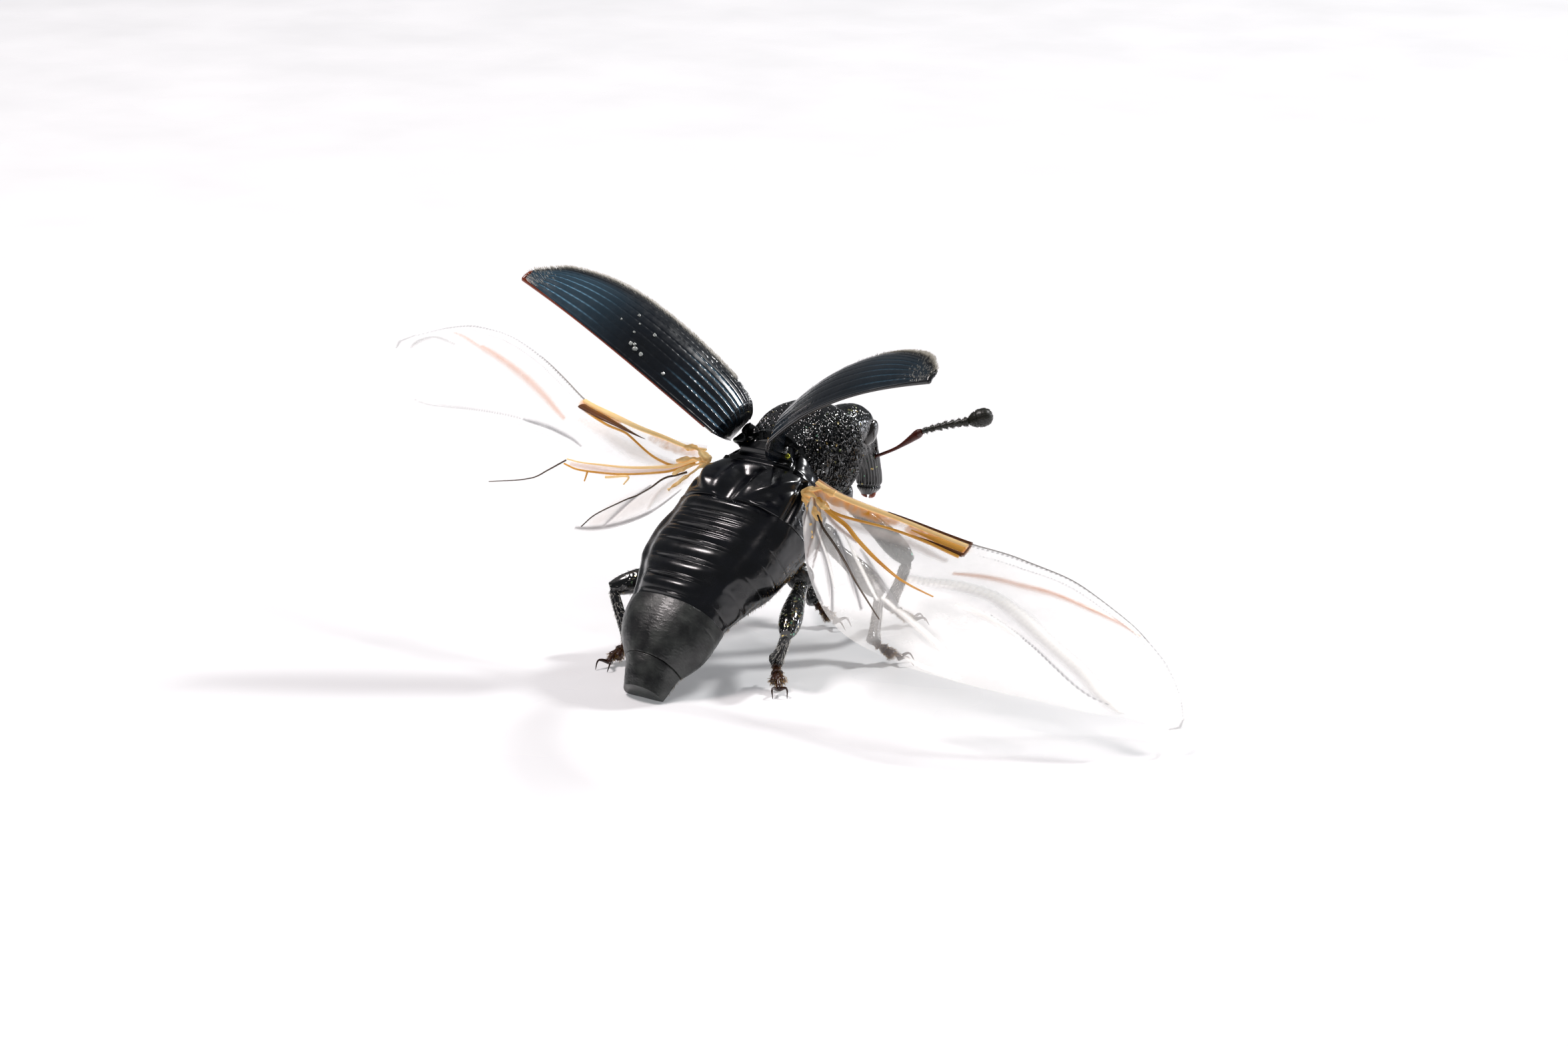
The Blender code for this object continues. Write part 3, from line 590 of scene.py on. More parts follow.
def wing_case_chitin():
    """Wing case, chitin laid down in many thin layers: smooth blue-black, with a painted highlight of cold
    blue along its grooves and a faint painted blue sheen, and grey towards the hairy outer edge, partly
    the pale fuzz and partly a painted rim sheen."""
    made, shader, where = finish_of(
        "blue_black_wing_case_chitin", {"IOR": 1.56, "Coat Weight": 0.25, "Coat Roughness": 0.06}
    )
    ground = mixed(made, clouds(made, where, 1.4, 4.0), "#04060a", "#0a131d")
    # Grey towards the upper outer edge: partly the pale fuzz, partly a painted rim sheen.
    fuzz_and_sheen_tone = mixed(made, painted(made, "fuzz_and_sheen"), ground, "#25282c")
    # Painted highlight and sheen: the groove paint turns the colour a pale cold blue.
    tint = mixed(made, painted(made, "groove"), fuzz_and_sheen_tone, "#86bcdc")
    feed(made, tint, shader, "Base Color")
    wax = clouds(made, where, 0.3, 5.0)
    feed(made, ranged(made, wax, 0.35, 0.7, 0.16, 0.27), shader, "Roughness")
    relief(made, shader, clouds(made, where, 0.14, 3.0), 0.18, 0.006)
    return made


def pitted_chitin(name, glints):
    """Coarsely pitted chitin: black between the pits, with a share of small green and gold glints."""
    made, shader, where = finish_of(name, {"IOR": 1.6, "Coat Weight": 0.35, "Coat Roughness": 0.05})
    cell = add(made, "ShaderNodeTexVoronoi", {"Scale": per_metre(0.09)}, {"Vector": where})
    pick = add(made, "ShaderNodeSeparateColor", {}, {"Color": cell.outputs["Color"]})
    hue = mixed(made, pick.outputs["Red"], "#4fa58e", "#f3cf7a")
    chosen = ranged(made, pick.outputs["Green"], 1.0 - glints, 1.0)
    ground = mixed(made, clouds(made, where, 0.9, 4.0), "#020304", "#07090a")
    feed(made, mixed(made, chosen, ground, hue), shader, "Base Color")
    feed(made, chosen, shader, "Metallic")
    wax = clouds(made, where, 0.2, 5.0)
    feed(made, ranged(made, wax, 0.3, 0.7, 0.1, 0.22), shader, "Roughness")
    relief(made, shader, clouds(made, where, 0.07, 5.0), 0.2, 0.012)
    return made


def shaded_chitin(name, low, high, rough, streak_mm, settings=None):
    """Thinner chitin, tanned but not black: it lets its brown show, cloudy and finely wrinkled.
    Where it is thin enough for light to come through, a weak glow of its own colour stands for it."""
    made, shader, where = finish_of(name, {"IOR": 1.54, "Roughness": rough, **(settings or {})})
    tint = mixed(made, clouds(made, where, streak_mm * 4, 5.0), low, high)
    feed(made, tint, shader, "Base Color", "Emission Color")
    relief(made, shader, clouds(made, where, streak_mm, 4.0), 0.6, 0.01)
    return made


def wing_film():
    """Wing membrane, a dried clear film a few thousandths of a millimetre thick: light passes through
    it, and a painted glow stands for that light. It is milky where it lies double and painted white in
    glare bands, painted grey shade in its pleats, golden near its root, else unseen."""
    made, shader, where = finish_of(
        "clear_wing_film", {"IOR": 1.45, "Roughness": 0.25, "Specular IOR Level": 0.35}
    )
    pleat_shade, milk_and_glare, stain, skin = (painted(made, name) for name in ("pleat_shade", "milk_and_glare", "stain", "gold"))
    # Painted light: a glow stands for the light that comes through the film from both sides, so what lies
    # single or double still looks bright; the painted shade of the pleats takes the glow away.
    feed(made, ranged(made, pleat_shade, 0.0, 0.6, 0.3, 0.0), shader, "Emission Strength")
    crease = clouds(made, where, 0.9, 3.0)
    tint = mixed(made, crease, "#f0ede9", "#fffefc")
    # The pleats take a painted grey shade; stain and gold are the film's own colours.
    for amount, tone in ((pleat_shade, "#8d9196"), (stain, "#d2a58c"), (skin, "#dd9a3c")):
        tint = mixed(made, amount, tint, tone)
    feed(made, tint, shader, "Base Color", "Emission Color")
    thick = add(
        made,
        "ShaderNodeMath",
        {"operation": "MULTIPLY", "use_clamp": True},
        {0: milk_and_glare, 1: ranged(made, crease, 0.3, 0.75, 0.8, 1.2)},
    )
    feed(made, thick.outputs["Value"], shader, "Alpha")
    relief(made, shader, crease, 0.15, 0.04)
    return made


def eye_glass():
    """Compound eye: hundreds of clear lenses over dark pigment, so black with a fine facet sparkle."""
    made, shader, where = finish_of(
        "faceted_eye", {"IOR": 1.5, "Roughness": 0.18, "Coat Weight": 0.6, "Coat Roughness": 0.06}
    )
    # A real facet is about 0.02 mm across: it is drawn at 0.045 mm so that it shows.
    facet = outlines(made, where, 0.045, 0.25)
    feed(made, mixed(made, facet, "#1d1712", "#090807"), shader, "Base Color")
    relief(made, shader, facet, 0.8, 0.008)
    return made


GLOSSY = black_chitin("glossy_black_chitin", ("#020306", "#0a0c13"), (0.17, 0.3), 0.06, 0.08)
DULL = black_chitin("dull_grey_black_chitin", ("#0a0b0c", "#3b3e3b"), (0.32, 0.5), 0.09, 0.6)
CASE = wing_case_chitin()
LEG = black_chitin("leg_black_chitin", ("#050608", "#121417"), (0.18, 0.34), 0.08, 0.4)
PITTED = pitted_chitin("pitted_shield_chitin", 0.012)
SNOUT = pitted_chitin("pitted_head_chitin", 0.02)
THIGH = pitted_chitin("pitted_thigh_chitin", 0.01)
GLINT_THIGH = pitted_chitin("glinting_thigh_chitin", 0.08)
EYE = eye_glass()
BROWN = shaded_chitin("tanned_foot_chitin", "#140a07", "#45200f", 0.3, 0.12)
RED_HORN = shaded_chitin(
    "red_brown_case_rim",
    "#3a130a",
    "#b04a1e",
    0.25,
    0.2,
    {"Subsurface Weight": 0.2, "Subsurface Radius": (0.0004, 0.0002, 0.0001)},
)
SCAPE = shaded_chitin("antenna_shaft_chitin", "#1d0c09", "#6b2c1e", 0.25, 0.15)
WHIP = shaded_chitin("antenna_whip_chitin", "#0d0e0b", "#26281e", 0.4, 0.08)
VEIN_FINISHES = {
    "amber": shaded_chitin("amber_wing_vein", "#a8661c", "#e0aa4c", 0.25, 0.3, {"Emission Strength": 0.35}),
    "gold": shaded_chitin("golden_wing_vein", "#dfb06a", "#f7dba6", 0.25, 0.3, {"Emission Strength": 0.4}),
    "brown": shaded_chitin("brown_wing_cell", "#3a1c0a", "#8a5222", 0.3, 0.3),
    "dark": shaded_chitin("dark_wing_vein", "#2b1e14", "#5d4428", 0.35, 0.2),
    "grey": shaded_chitin("grey_wing_edge", "#8a857f", "#b3aea7", 0.3, 0.25, {"Alpha": 0.6}),
}
ROOT_SKIN = shaded_chitin(
    "golden_wing_root_skin", "#d98f22", "#ffe9b0", 0.22, 0.1, {"Emission Strength": 0.25}
)
BEAD = shaded_chitin("green_gold_glint", "#7d8a12", "#f2ee5a", 0.12, 0.05, {"Metallic": 0.8})
DROP = shaded_chitin("dried_drop", "#6f7472", "#dfe4de", 0.08, 0.06, {"Coat Weight": 1.0})
CLAW = shaded_chitin("claw_horn", "#160c08", "#3e2012", 0.22, 0.1)
HAIR = shaded_chitin("pale_hair", "#d5d0c2", "#fbf9f2", 0.25, 0.3)
GOLD_HAIR = shaded_chitin("golden_hair", "#6a4a1e", "#d0a55a", 0.3, 0.2)
DARK_HAIR = shaded_chitin("dark_hair", "#1d1a15", "#57503f", 0.35, 0.2)
FILM = wing_film()


# Trunk


def from_top(angles):
    """How far round from the top of its ring each angle lies, to either side."""
    return np.abs((angles - math.pi / 2.0 + math.pi) % (2.0 * math.pi) - math.pi)


def hind_grid(first, last, rows, cols):
    """Places back along the hind body, angles round it and the smooth skin there."""
    back = np.linspace(first, last, rows)
    angles = ring_angles(cols)
    x, z = rounded(*curve(HIND_PROFILE, back).T, angles)
    x = x + curve(HIND_BEND, back)
    return back[:, None], from_top(angles)[None, :], HIND.at(x, back[:, None], z)


def raise_skin(grid, lift):
    """A ring grid with each point moved out along its normal."""
    return grid + normals(grid, True) * lift[..., None]


def tuck(back, first, last, depth, reach):
    """Sinks both ends of a ring under its neighbours."""
    return -depth * fall(back, first, first + reach) - depth * rise(back, last - reach, last)


def mesothorax():
    """The collar between the wing cases: a low shield on top, with a raised rear rim."""
    first, last = -MESO_REACH, MESO_END + 0.1
    back, turn, grid = hind_grid(first, last, *GRIDS["mesothorax"])
    shield = fall(turn, 0.42, 0.56)
    lift = 0.22 * shield * plateau(back, -0.6, 0.1, 0.5, 0.68)
    lift = lift + 0.1 * bump_at(back, 0.98, 0.08) * fall(turn, 0.6, 1.1)
    lift = lift - 0.14 * bump_at(turn, 0.62, 0.06) * rise(back, -0.6, 0.0)
    lift = lift + 0.05 * grain(grid, 0.4) * rise(turn, 0.5, 0.8) + 0.008 * grain(grid, 0.3, 2)
    lift = lift + tuck(back, first, last, 0.2, 0.16)
    dress("mesothorax_collar", *tube(raise_skin(grid, lift)), GLOSSY, ["mesothorax"], "black_cuticle")


def metathorax():
    """The flight segment: two swollen glossy lobes, a groove between them with a raised lip on each
    side, and a slanting furrow over each lobe."""
    first, last = MESO_END - 0.08, META_END + 0.06
    back, turn, grid = hind_grid(first, last, *GRIDS["metathorax"])
    share = (back - first) / (last - first)
    lobe = bump_at(turn, 0.5, 0.36) * np.sin(math.pi * np.clip(share, 0.0, 1.0)) ** 0.8
    lift = 0.24 * lobe
    lift = lift - 0.26 * bump_at(turn, 0.0, 0.07) * rise(share, 0.05, 0.3)
    lift = lift + 0.07 * bump_at(turn, 0.16, 0.06) * plateau(share, 0.0, 0.4, 0.8, 0.95)
    slant = turn - (0.95 - 0.8 * share)
    crest = plateau(share, 0.1, 0.3, 0.86, 0.96)
    lift = lift + (0.06 * bump_at(slant, 0.0, 0.09) - 0.08 * bump_at(slant, 0.2, 0.11)) * crest
    lift = lift - 0.12 * bump_at(turn, 0.62, 0.14) * bump_at(share, 0.76, 0.1)
    lift = lift - 0.14 * bump_at(turn, 1.02, 0.08) + 0.07 * bump_at(turn, 1.16, 0.07)
    lift = lift + 0.12 * bump_at(share, 0.7, 0.16) * bump_at(turn, 0.32, 0.22)
    lift = lift + 0.03 * bump_at(share, 0.93, 0.03) * fall(turn, 0.5, 0.8) + 0.02 * grain(grid, 0.7)
    side = rise(turn, 1.1, 1.3)
    lift = lift - 0.03 * side * dimples(grid, 0.2)
    lift = lift + tuck(back, first, last, 0.22, 0.12)
    dress("metathorax_lobes", *tube(raise_skin(grid, lift)), GLOSSY, ["metathorax"], "black_cuticle")


def plate_lift(back, turn):
    """How the back plates stand up: each is a soft roll, with folds in the skin behind it."""
    lift = np.zeros(np.broadcast_shapes(back.shape, turn.shape))
    top = np.exp(-((turn / 0.6) ** 4))
    middle = np.exp(-((turn / 0.42) ** 4))
    bow = 0.2 * turn**2
    for number, (front, rear) in enumerate(zip(PLATE_EDGES[:-2], PLATE_EDGES[1:-1])):
        share = (back + bow - front) / (rear - front)
        inside = ((share >= 0.0) & (share < 1.0)) * 1.0
        size = PLATE_SIZES[number]
        roll = np.sin(math.pi * np.clip(share / 0.78, 0.0, 1.0))
        lift = lift + inside * top * PLATE_STEP * size * roll
        fold = bump_at(share, 0.86, 0.075) - 0.6 * bump_at(share, 0.3, 0.08) * (number in (1, 2))
        lift = lift + inside * middle * FOLD_STEP * fold
    return lift


def side_lift(back, turn):
    """The furrow and rim beside the back plates, the side plates and the belly plates."""
    fade = fall(back, 7.6, 9.2)
    lift = -0.07 * bump_at(turn, FURROW_TURN, 0.14) * fade
    lift = lift + 0.02 * bump_at(turn, RIM_TURN, 0.1) * fade
    flank = rise(turn, 1.0, 1.15) * fall(back, 10.2, 10.8)
    for edge in PLATE_EDGES[1:-1]:
        seam = edge + 0.5 + 0.25 * (turn - 1.1)
        lift = lift - 0.012 * bump_at(back, seam, 0.07) * flank
        lift = lift + 0.008 * plateau(back, seam - 0.5, seam - 0.08, seam - 0.06, seam) * flank
    return lift


def abdomen():
    """Six soft back plates with wet-looking folds, and firmer side and belly plates."""
    first, last = META_END - 0.12, PLATE_EDGES[-2] + 0.1
    back, turn, grid = hind_grid(first, last, *GRIDS["abdomen"])
    lift = plate_lift(back, turn) + side_lift(back, turn)
    lumps = rise(turn, 0.35, 0.9)
    lift = lift + (0.012 + 0.05 * lumps) * grain(grid, 0.9, 4) + 0.012 * lumps * grain(grid, 0.3, 5)
    lift = lift + tuck(back, first, last, 0.22, 0.1)
    dress("abdomen_plates", *tube(raise_skin(grid, lift)), GLOSSY, ["abdomen"], "black_cuticle")


def last_back_plate():
    """The large last back plate: dull, grey and mottled, with a firmer belly under it."""
    first, last = PLATE_EDGES[-2] - 0.08, ABDOMEN_END + 0.1
    back, turn, grid = hind_grid(first, last, *GRIDS["last_back_plate"])
    share = np.clip((back - first) / (last - first), 0.0, 1.0)
    lift = side_lift(back, turn) + 0.14 * np.sin(math.pi * share) ** 0.7
    lift = lift + 0.008 * dimples(grid, 0.13, 0.15, 0.55) + 0.02 * grain(grid, 0.6, 6)
    lift = lift + tuck(back, first, last, 0.16, 0.1)
    dress("last_back_plate", *tube(raise_skin(grid, lift)), DULL, ["abdomen"], "black_cuticle")


def tail_plate():
    """The tail cap, rough, with a low keel and a flat rest on the floor."""
    first, last = ABDOMEN_END - 0.04, HIND_LENGTH
    back, turn, grid = hind_grid(first, last, *GRIDS["tail_plate"])
    lift = 0.05 * bump_at(turn, 0.0, 0.3) * plateau(back, 11.2, 11.6, 12.0, 12.35)
    lift = lift - 0.012 * dimples(grid, 0.12, 0.1, 0.45, 3) + 0.02 * grain(grid, 0.5, 7)
    lift = lift - 0.14 * fall(back, first, first + 0.12)
    grid = raise_skin(grid, lift)
    grid[..., 2] = np.maximum(grid[..., 2], 0.0)
    dress("tail_plate", *tube(grid), DULL, ["pygidium"], "black_cuticle")


def pro_grid(rows, cols):
    """Places forward along the shield, angles from its top and the smooth skin there."""
    forward = np.linspace(PRO_LENGTH + 0.12, -0.12, rows)
    angles = ring_angles(cols)
    half, above, below = curve(PRO_PROFILE, forward).T
    x, z = rounded(half, above, below, PRO_POWER, angles)
    ahead = forward[:, None] * (1.0 + PRO_LEAN * z / PRO_LENGTH)
    return forward[:, None], from_top(angles)[None, :], PRO.at(x, -ahead, z)


def pit_lift(grid, turn, size, depth, wrinkled):
    """Pits with raised walls: round on top, drawn out into wavy upright wrinkles on the sides."""
    warp = np.stack([grain(grid, size * 3.0, s) for s in (11, 12, 13)], axis=-1) * size * 0.7
    pits = -depth * dimples(grid + warp, size, 0.12, 0.5)
    drawn = (grid + warp) * np.array((1.0, 1.25, 0.42))
    near, far = cells(drawn, size * 0.72, 5)
    walls = depth * fall(far - near, 0.0, 0.28) - depth * 0.5
    side = rise(turn, 0.35, 0.95) * wrinkled
    return pits * (1.0 - side) + walls * side


def prothorax():
    """The shield behind the head: coarse pits that run into wrinkles down its sides."""
    forward, turn, grid = pro_grid(*GRIDS["prothorax"])
    lift = pit_lift(grid, turn, PIT_SIZE, PIT_DEPTH, 1.0) + 0.015 * grain(grid, 0.6, 8)
    rim = bump_at(forward, PRO_LENGTH - 0.06, 0.07) + bump_at(forward, 0.08, 0.08)
    lift = lift * (1.0 - np.clip(rim, 0.0, 1.0)) + 0.05 * rim
    lift = lift - 0.25 * rise(forward, PRO_LENGTH, PRO_LENGTH + 0.1) - 0.25 * rise(-forward, 0.0, 0.1)
    dress("prothorax_shield", *tube(raise_skin(grid, lift)), PITTED, ["prothorax"], "pitted_cuticle")


def head():
    """Head and snout in one: fine pits, a long groove on each side for the antenna, ribs along it."""
    rows, cols = GRIDS["head"]
    share = np.linspace(0.0, 1.0, rows)[:, None]
    line = smooth_line([PRO.at(a[1], -(PRO_LENGTH + HEAD_GAP + a[0]), a[2]) for a in HEAD_AXIS], rows)
    half_wide, half_deep = curve(HEAD_PROFILE, share[:, 0]).T
    # A sweep across the animal's left: its wide side is depth, its deep side is the animal's left.
    grid = sweep(line, half_wide, half_deep, cols, PRO.rows[0])
    a = ring_angles(cols)[None, :]
    side = np.abs(np.sin(a))
    lift = pit_lift(grid, np.full_like(grid[..., 0], 0.2), 0.12, 0.03, 0.0) * fall(share, 0.5, 0.7)
    ribs = np.sin(a * 26.0 + 2.0 * grain(grid, 0.9, 9))
    lift = lift + 0.018 * ribs * plateau(share, 0.42, 0.55, 0.93, 0.99)
    groove = bump_at(side, 1.0, 0.05) * plateau(share, 0.3, 0.42, 0.6, 0.68)
    lift = lift - 0.16 * groove
    keel = bump_at(np.minimum(a, 2.0 * math.pi - a), 0.0, 0.12) * rise(share, 0.4, 0.5)
    lift = lift + 0.05 * keel * fall(share, 0.8, 0.95) + 0.015 * grain(grid, 0.4, 10)
    lift = lift - 0.06 * bump_at(share, 0.93, 0.012)
    dress("head_and_snout", *tube(raise_skin(grid, lift)), SNOUT, ["head", "rostrum"], "pitted_cuticle")
    return line


def eye(line, word):
    """An egg-shaped eye in the side of the head."""
    at = int(EYE_SHARE * (len(line) - 1))
    along = unit(line[at + 1] - line[at - 1])
    side = SIDES[word]
    across = PRO.rows[0] * side
    deep = np.cross(along, across)
    half_deep = curve(HEAD_PROFILE, EYE_SHARE)[1]
    centre = line[at] + across * (half_deep - EYE_SINK) - deep * side * EYE_SHIFT
    lat = np.linspace(-math.pi / 2.0 + 0.05, math.pi / 2.0 - 0.05, 40)[:, None, None]
    a = ring_angles(64)[None, :, None]
    grid = centre + along * EYE_WIDE * np.cos(lat) * np.cos(a)
    grid = grid + deep * EYE_LONG * np.cos(lat) * np.sin(a) + across * EYE_OUT * np.sin(lat)
    dress(f"eye_{word}", *tube(grid), EYE, [f"eye_{word}"], "eye_lens")


def rod(a, b, sizes, bend, sides=24, rows=60):
    """A swept rod between two points; sizes are rows of (share, thickness)."""
    line = smooth_line((a, (a + b) / 2.0 + np.array(bend), b), rows)
    half = curve(sizes, np.linspace(0.0, 1.0, rows))[:, 0] / 2.0
    return line, sweep(line, half, half, sides, np.array((0.02, 1.0, 0.01)))


def bristles_on(grid, count, long, lean, seed):
    """Roots, ways and ends of hairs on a grid of rings, leaning along it."""
    draw = np.random.default_rng(seed)
    rows, cols = grid.shape[:2]
    i = draw.integers(1, rows - 1, count)
    j = draw.integers(0, cols, count)
    out = normals(grid, True)[i, j]
    along = unit(grid[np.minimum(i + 1, rows - 1), j] - grid[i - 1, j])
    way = unit(out + along * lean * 0.6 + draw.normal(0.0, 0.12, (count, 3)))
    end = grid[i, j] + unit(out * 0.7 + along * lean) * (long * draw.uniform(0.6, 1.15, count))[:, None]
    patch = np.column_stack((j / cols, i / rows))
    return grid[i, j], way, end, patch


def antenna(line, word):
    """Shaft, seven-bead whip and club, the last two thick with short hairs."""
    side = SIDES[word]
    pit = line[int(ANTENNA_SHARE * (len(line) - 1))]
    half = curve(HEAD_PROFILE, ANTENNA_SHARE)[1]
    start = pit + np.array((side * (half - 0.12), 0.0, 0.0))

    def reach(forward, left, up):
        return pit + np.array((side * (half + HEAD_GAP + left), -forward, up))

    elbow, wrist, tip = (reach(*point) for point in ANTENNA_REACH[word])
    sizes = ((0.0, 0.13), (0.1, 0.14), (0.5, 0.17), (0.8, 0.34), (0.93, 0.4), (1.0, 0.26))
    _, shaft = rod(start, elbow, sizes, (0.0, 0.0, -0.14))
    dress(f"antenna_{word}_shaft", *tube(shaft), SCAPE, [f"antenna_{word}_scape"], "scape_cuticle")
    beads = []
    for k in range(7):
        low, high = k / 7.0, (k + 1) / 7.0
        grow = 0.22 + 0.02 * k
        beads += [(low + 0.01, grow * 0.75), (low + 0.06, grow)]
        beads += [(high - 0.035, grow * 1.2), (high, grow * 0.8)]
    _, whip = rod(elbow, wrist, beads, (0.0, 0.0, 0.05), rows=150)
    dress(f"antenna_{word}_whip", *tube(whip), WHIP, [f"antenna_{word}_funicle"], "antenna_hair")
    club = (
        (0.0, 0.24), (0.08, 0.42), (0.3, 0.7), (0.36, 0.67), (0.42, 0.77), (0.62, 0.8),
        (0.66, 0.76), (0.72, 0.78), (0.88, 0.6), (0.97, 0.34), (1.0, 0.12),
    )
    _, knob = rod(wrist, tip, club, (0.0, 0.0, 0.0), rows=90)
    dress(f"antenna_{word}_knob", *tube(knob), WHIP, [f"antenna_{word}_club"], "antenna_hair")
    for part, grid, count, long in (("whip", whip, 420, 0.1), ("knob", knob, 900, 0.05)):
        roots, ways, ends, patch = bristles_on(grid, count, long, 1.3, 20)
        hairs(f"antenna_{word}_{part}_hairs", roots, ways, ends, 0.018, patch, DARK_HAIR, "antenna_hair")


def neck_skin():
    """A ring of golden neck skin inside the front of the shield."""
    angles = ring_angles(96)
    rings = []
    for forward, size in ((3.62, 1.3), (3.74, 1.37), (3.86, 1.33), (4.0, 1.2)):
        x, z = rounded(np.array((size,)), np.array((size,)), np.array((size,)), 2.0, angles)
        rings.append(PRO.at(x[0], -forward, z[0] - 0.02))
    dress("neck_skin", *tube(np.array(rings)), ROOT_SKIN, [], "wing_membrane")


def jaws(line):
    """A pair of short red-brown jaws at the tip of the snout."""
    tip, along = line[-1], unit(line[-1] - line[-8])
    parts = []
    for side in (1, -1):
        a = tip + PRO.rows[0] * side * 0.22 - along * 0.12
        b = tip + PRO.rows[0] * side * 0.06 + along * 0.2
        _, grid = rod(a, b, ((0.0, 0.3), (0.5, 0.26), (1.0, 0.06)), PRO.rows[0] * side * 0.08, 16, 20)
        parts.append(tube(grid))
    dress("jaws", *merge(parts), RED_HORN, [], "brown_cuticle")


# Wing cases


def elytron_axes(word):
    """Directions along a wing case, across it and out of its upper face."""
    side = SIDES[word]
    spread, lift = math.radians(ELYTRON_SPREAD[word]), math.radians(ELYTRON_LIFT[word])
    along = np.array(
        (side * math.sin(spread) * math.cos(lift), -math.cos(spread) * math.cos(lift), math.sin(lift))
    )
    face = unit(UP - along * float(UP @ along))
    front = np.cross(along, face) * side
    twist = math.radians(ELYTRON_TWIST[word])
    width = front * math.cos(twist) + face * math.sin(twist)
    outward = face * math.cos(twist) - front * math.sin(twist)
    return along, width, outward


def elytron_grid(word, rows, cols):
    """The smooth outer face of a wing case, from root to tip and from its seam to its outer edge."""
    hinge, corner = on_hind(word, ELYTRON_HINGE[word]), on_hind(word, ELYTRON_CORNER[word])
    along, width, outward = elytron_axes(word)
    arc = math.radians(ELYTRON_ARC)
    u = np.linspace(0.0, 1.0, rows)[:, None, None]
    v = np.linspace(0.0, 1.0, cols)[None, :, None]
    wide = curve(ELYTRON_PLAN, u[:, 0, 0])[:, None, :] * ELYTRON_SCALE[word]
    across = wide * np.sin(arc * v) / math.sin(arc)
    bow = ELYTRON_BOW[word] * u**3 - ELYTRON_HUMP[word] * np.sin(math.pi * u)
    drop = ELYTRON_DROP * wide / ELYTRON_WIDE * (1.0 - np.cos(arc * v)) + bow
    grid = corner + along * ELYTRON_LENGTH * u + width * across - outward * drop
    root = hinge + width * ELYTRON_ROOT[word] * (v - ELYTRON_HINGE_AT)
    grid = root + (grid - root) * np.clip(u / ELYTRON_NECK[word], 0.0, 1.0) ** 0.5
    normal = normals(grid, False)
    if float(normal[rows // 2, cols // 2] @ outward) < 0:
        normal = -normal
    return u[..., 0], v[..., 0], grid, normal


def elytron(word):
    """A thin hard case: nine grooves with rows of pits, beaded edges and a smooth hollow underside."""
    u, v, grid, normal = elytron_grid(word, *GRIDS["elytron"])
    lane = v * INTERVALS
    beside = np.abs(lane - np.round(lane)) / INTERVALS
    inside = (lane > 0.5) & (lane < INTERVALS - 0.5) & (np.ones_like(u) > 0)
    reach = plateau(u, 0.01, 0.05, 0.9, 0.97)
    pits = 0.55 + 0.45 * np.cos(2.0 * math.pi * u * ELYTRON_LENGTH / STRIA_PIT + 2.1 * np.round(lane))
    shallow = 0.25 + 0.75 * fall(u, 0.12, 0.3) + 0.5 * rise(u, 0.72, 0.9)
    lift = -STRIA_DEPTH * bump_at(beside, 0.0, 0.011) * (0.5 + 0.5 * pits) * inside * reach * shallow
    lift = lift + 0.05 * (bump_at(v, 0.012, 0.014) + bump_at(v, 0.985, 0.016))
    upper = rise(v, 0.72, 0.92)
    lift = lift - 0.03 * upper * dimples(grid, 0.16) + 0.012 * grain(grid, 0.8, 14)
    thick = ELYTRON_THICK * (0.55 + 0.45 * np.sin(math.pi * v))
    outer = grid + normal * lift[..., None]
    inner = grid - normal * np.broadcast_to(thick, lift.shape)[..., None]
    case = dress(f"elytron_{word}", *shell(outer, inner), CASE, [f"elytron_{word}"], "wing_case", smooth=50.0)
    # Painted highlight and sheen: pale cold blue along the grooves near the root and near the tip, a faint
    # blue sheen over the seam half towards the tip; the right case gets a quarter of it.
    line = bump_at(beside, 0.0, 0.008) * inside * reach
    seam_half = fall(v, 0.55, 0.75)
    shown = 0.9 * fall(u, 0.1, 0.36) * seam_half
    shown = shown + 0.9 * rise(u, 0.62, 0.86) * fall(v, 0.4, 0.7)
    groove = line * shown * (0.5 + 0.5 * pits) + 0.1 * rise(u, 0.5, 0.85) * seam_half
    groove = groove * (1.0 if word == "left" else 0.25)
    # Grey towards the upper outer edge, short of the tip: partly the pale fuzz, partly a painted rim sheen
    # along the edge that curves away.
    fuzz_and_sheen = 0.5 * upper * fall(u, 0.8, 0.95)
    for name, values in (("groove", groove), ("fuzz_and_sheen", fuzz_and_sheen)):
        paint(case, name, np.concatenate((values.ravel(), 0.0 * values.ravel())))
    # The rim runs along the seam edge from a little way out, and on round most of the tip.
    begin, finish_at = 16, 131
    edge = np.concatenate((grid[begin:, 0], grid[-1, 1:finish_at:3]))
    edge = edge - np.concatenate((normal[begin:, 0], normal[-1, 1:finish_at:3])) * 0.07
    share = np.linspace(0.0, 1.0, len(edge))
    half = 0.05 + 0.045 * rise(share, 0.55, 0.9)
    rim = sweep(edge, half, half * 1.3, 12, elytron_axes(word)[2])
    # The right rim lies in its own shade and looks black.
    finish = RED_HORN if word == "left" else LEG
    dress(f"elytron_{word}_rim", *tube(rim), finish, [], "wing_case")
    case_hairs(word, outer, normal)
    if word == "left":
        case_drops(outer, normal)


def lump(centre, size, seed):
    """A small uneven ball."""
    up = np.array((0.0, 0.0, size))
    sizes = ((0.0, 0.1), (0.2, 1.2), (0.5, 2.0), (0.8, 1.2), (1.0, 0.1))
    _, grid = rod(centre - up, centre + up, sizes, (0.0, 0.0, 0.0), 28, 24)
    grid = centre + (grid - centre) * np.array((size, size, 1.0))
    return tube(grid + normals(grid, True) * (0.3 * size * grain(grid, size, seed))[..., None])


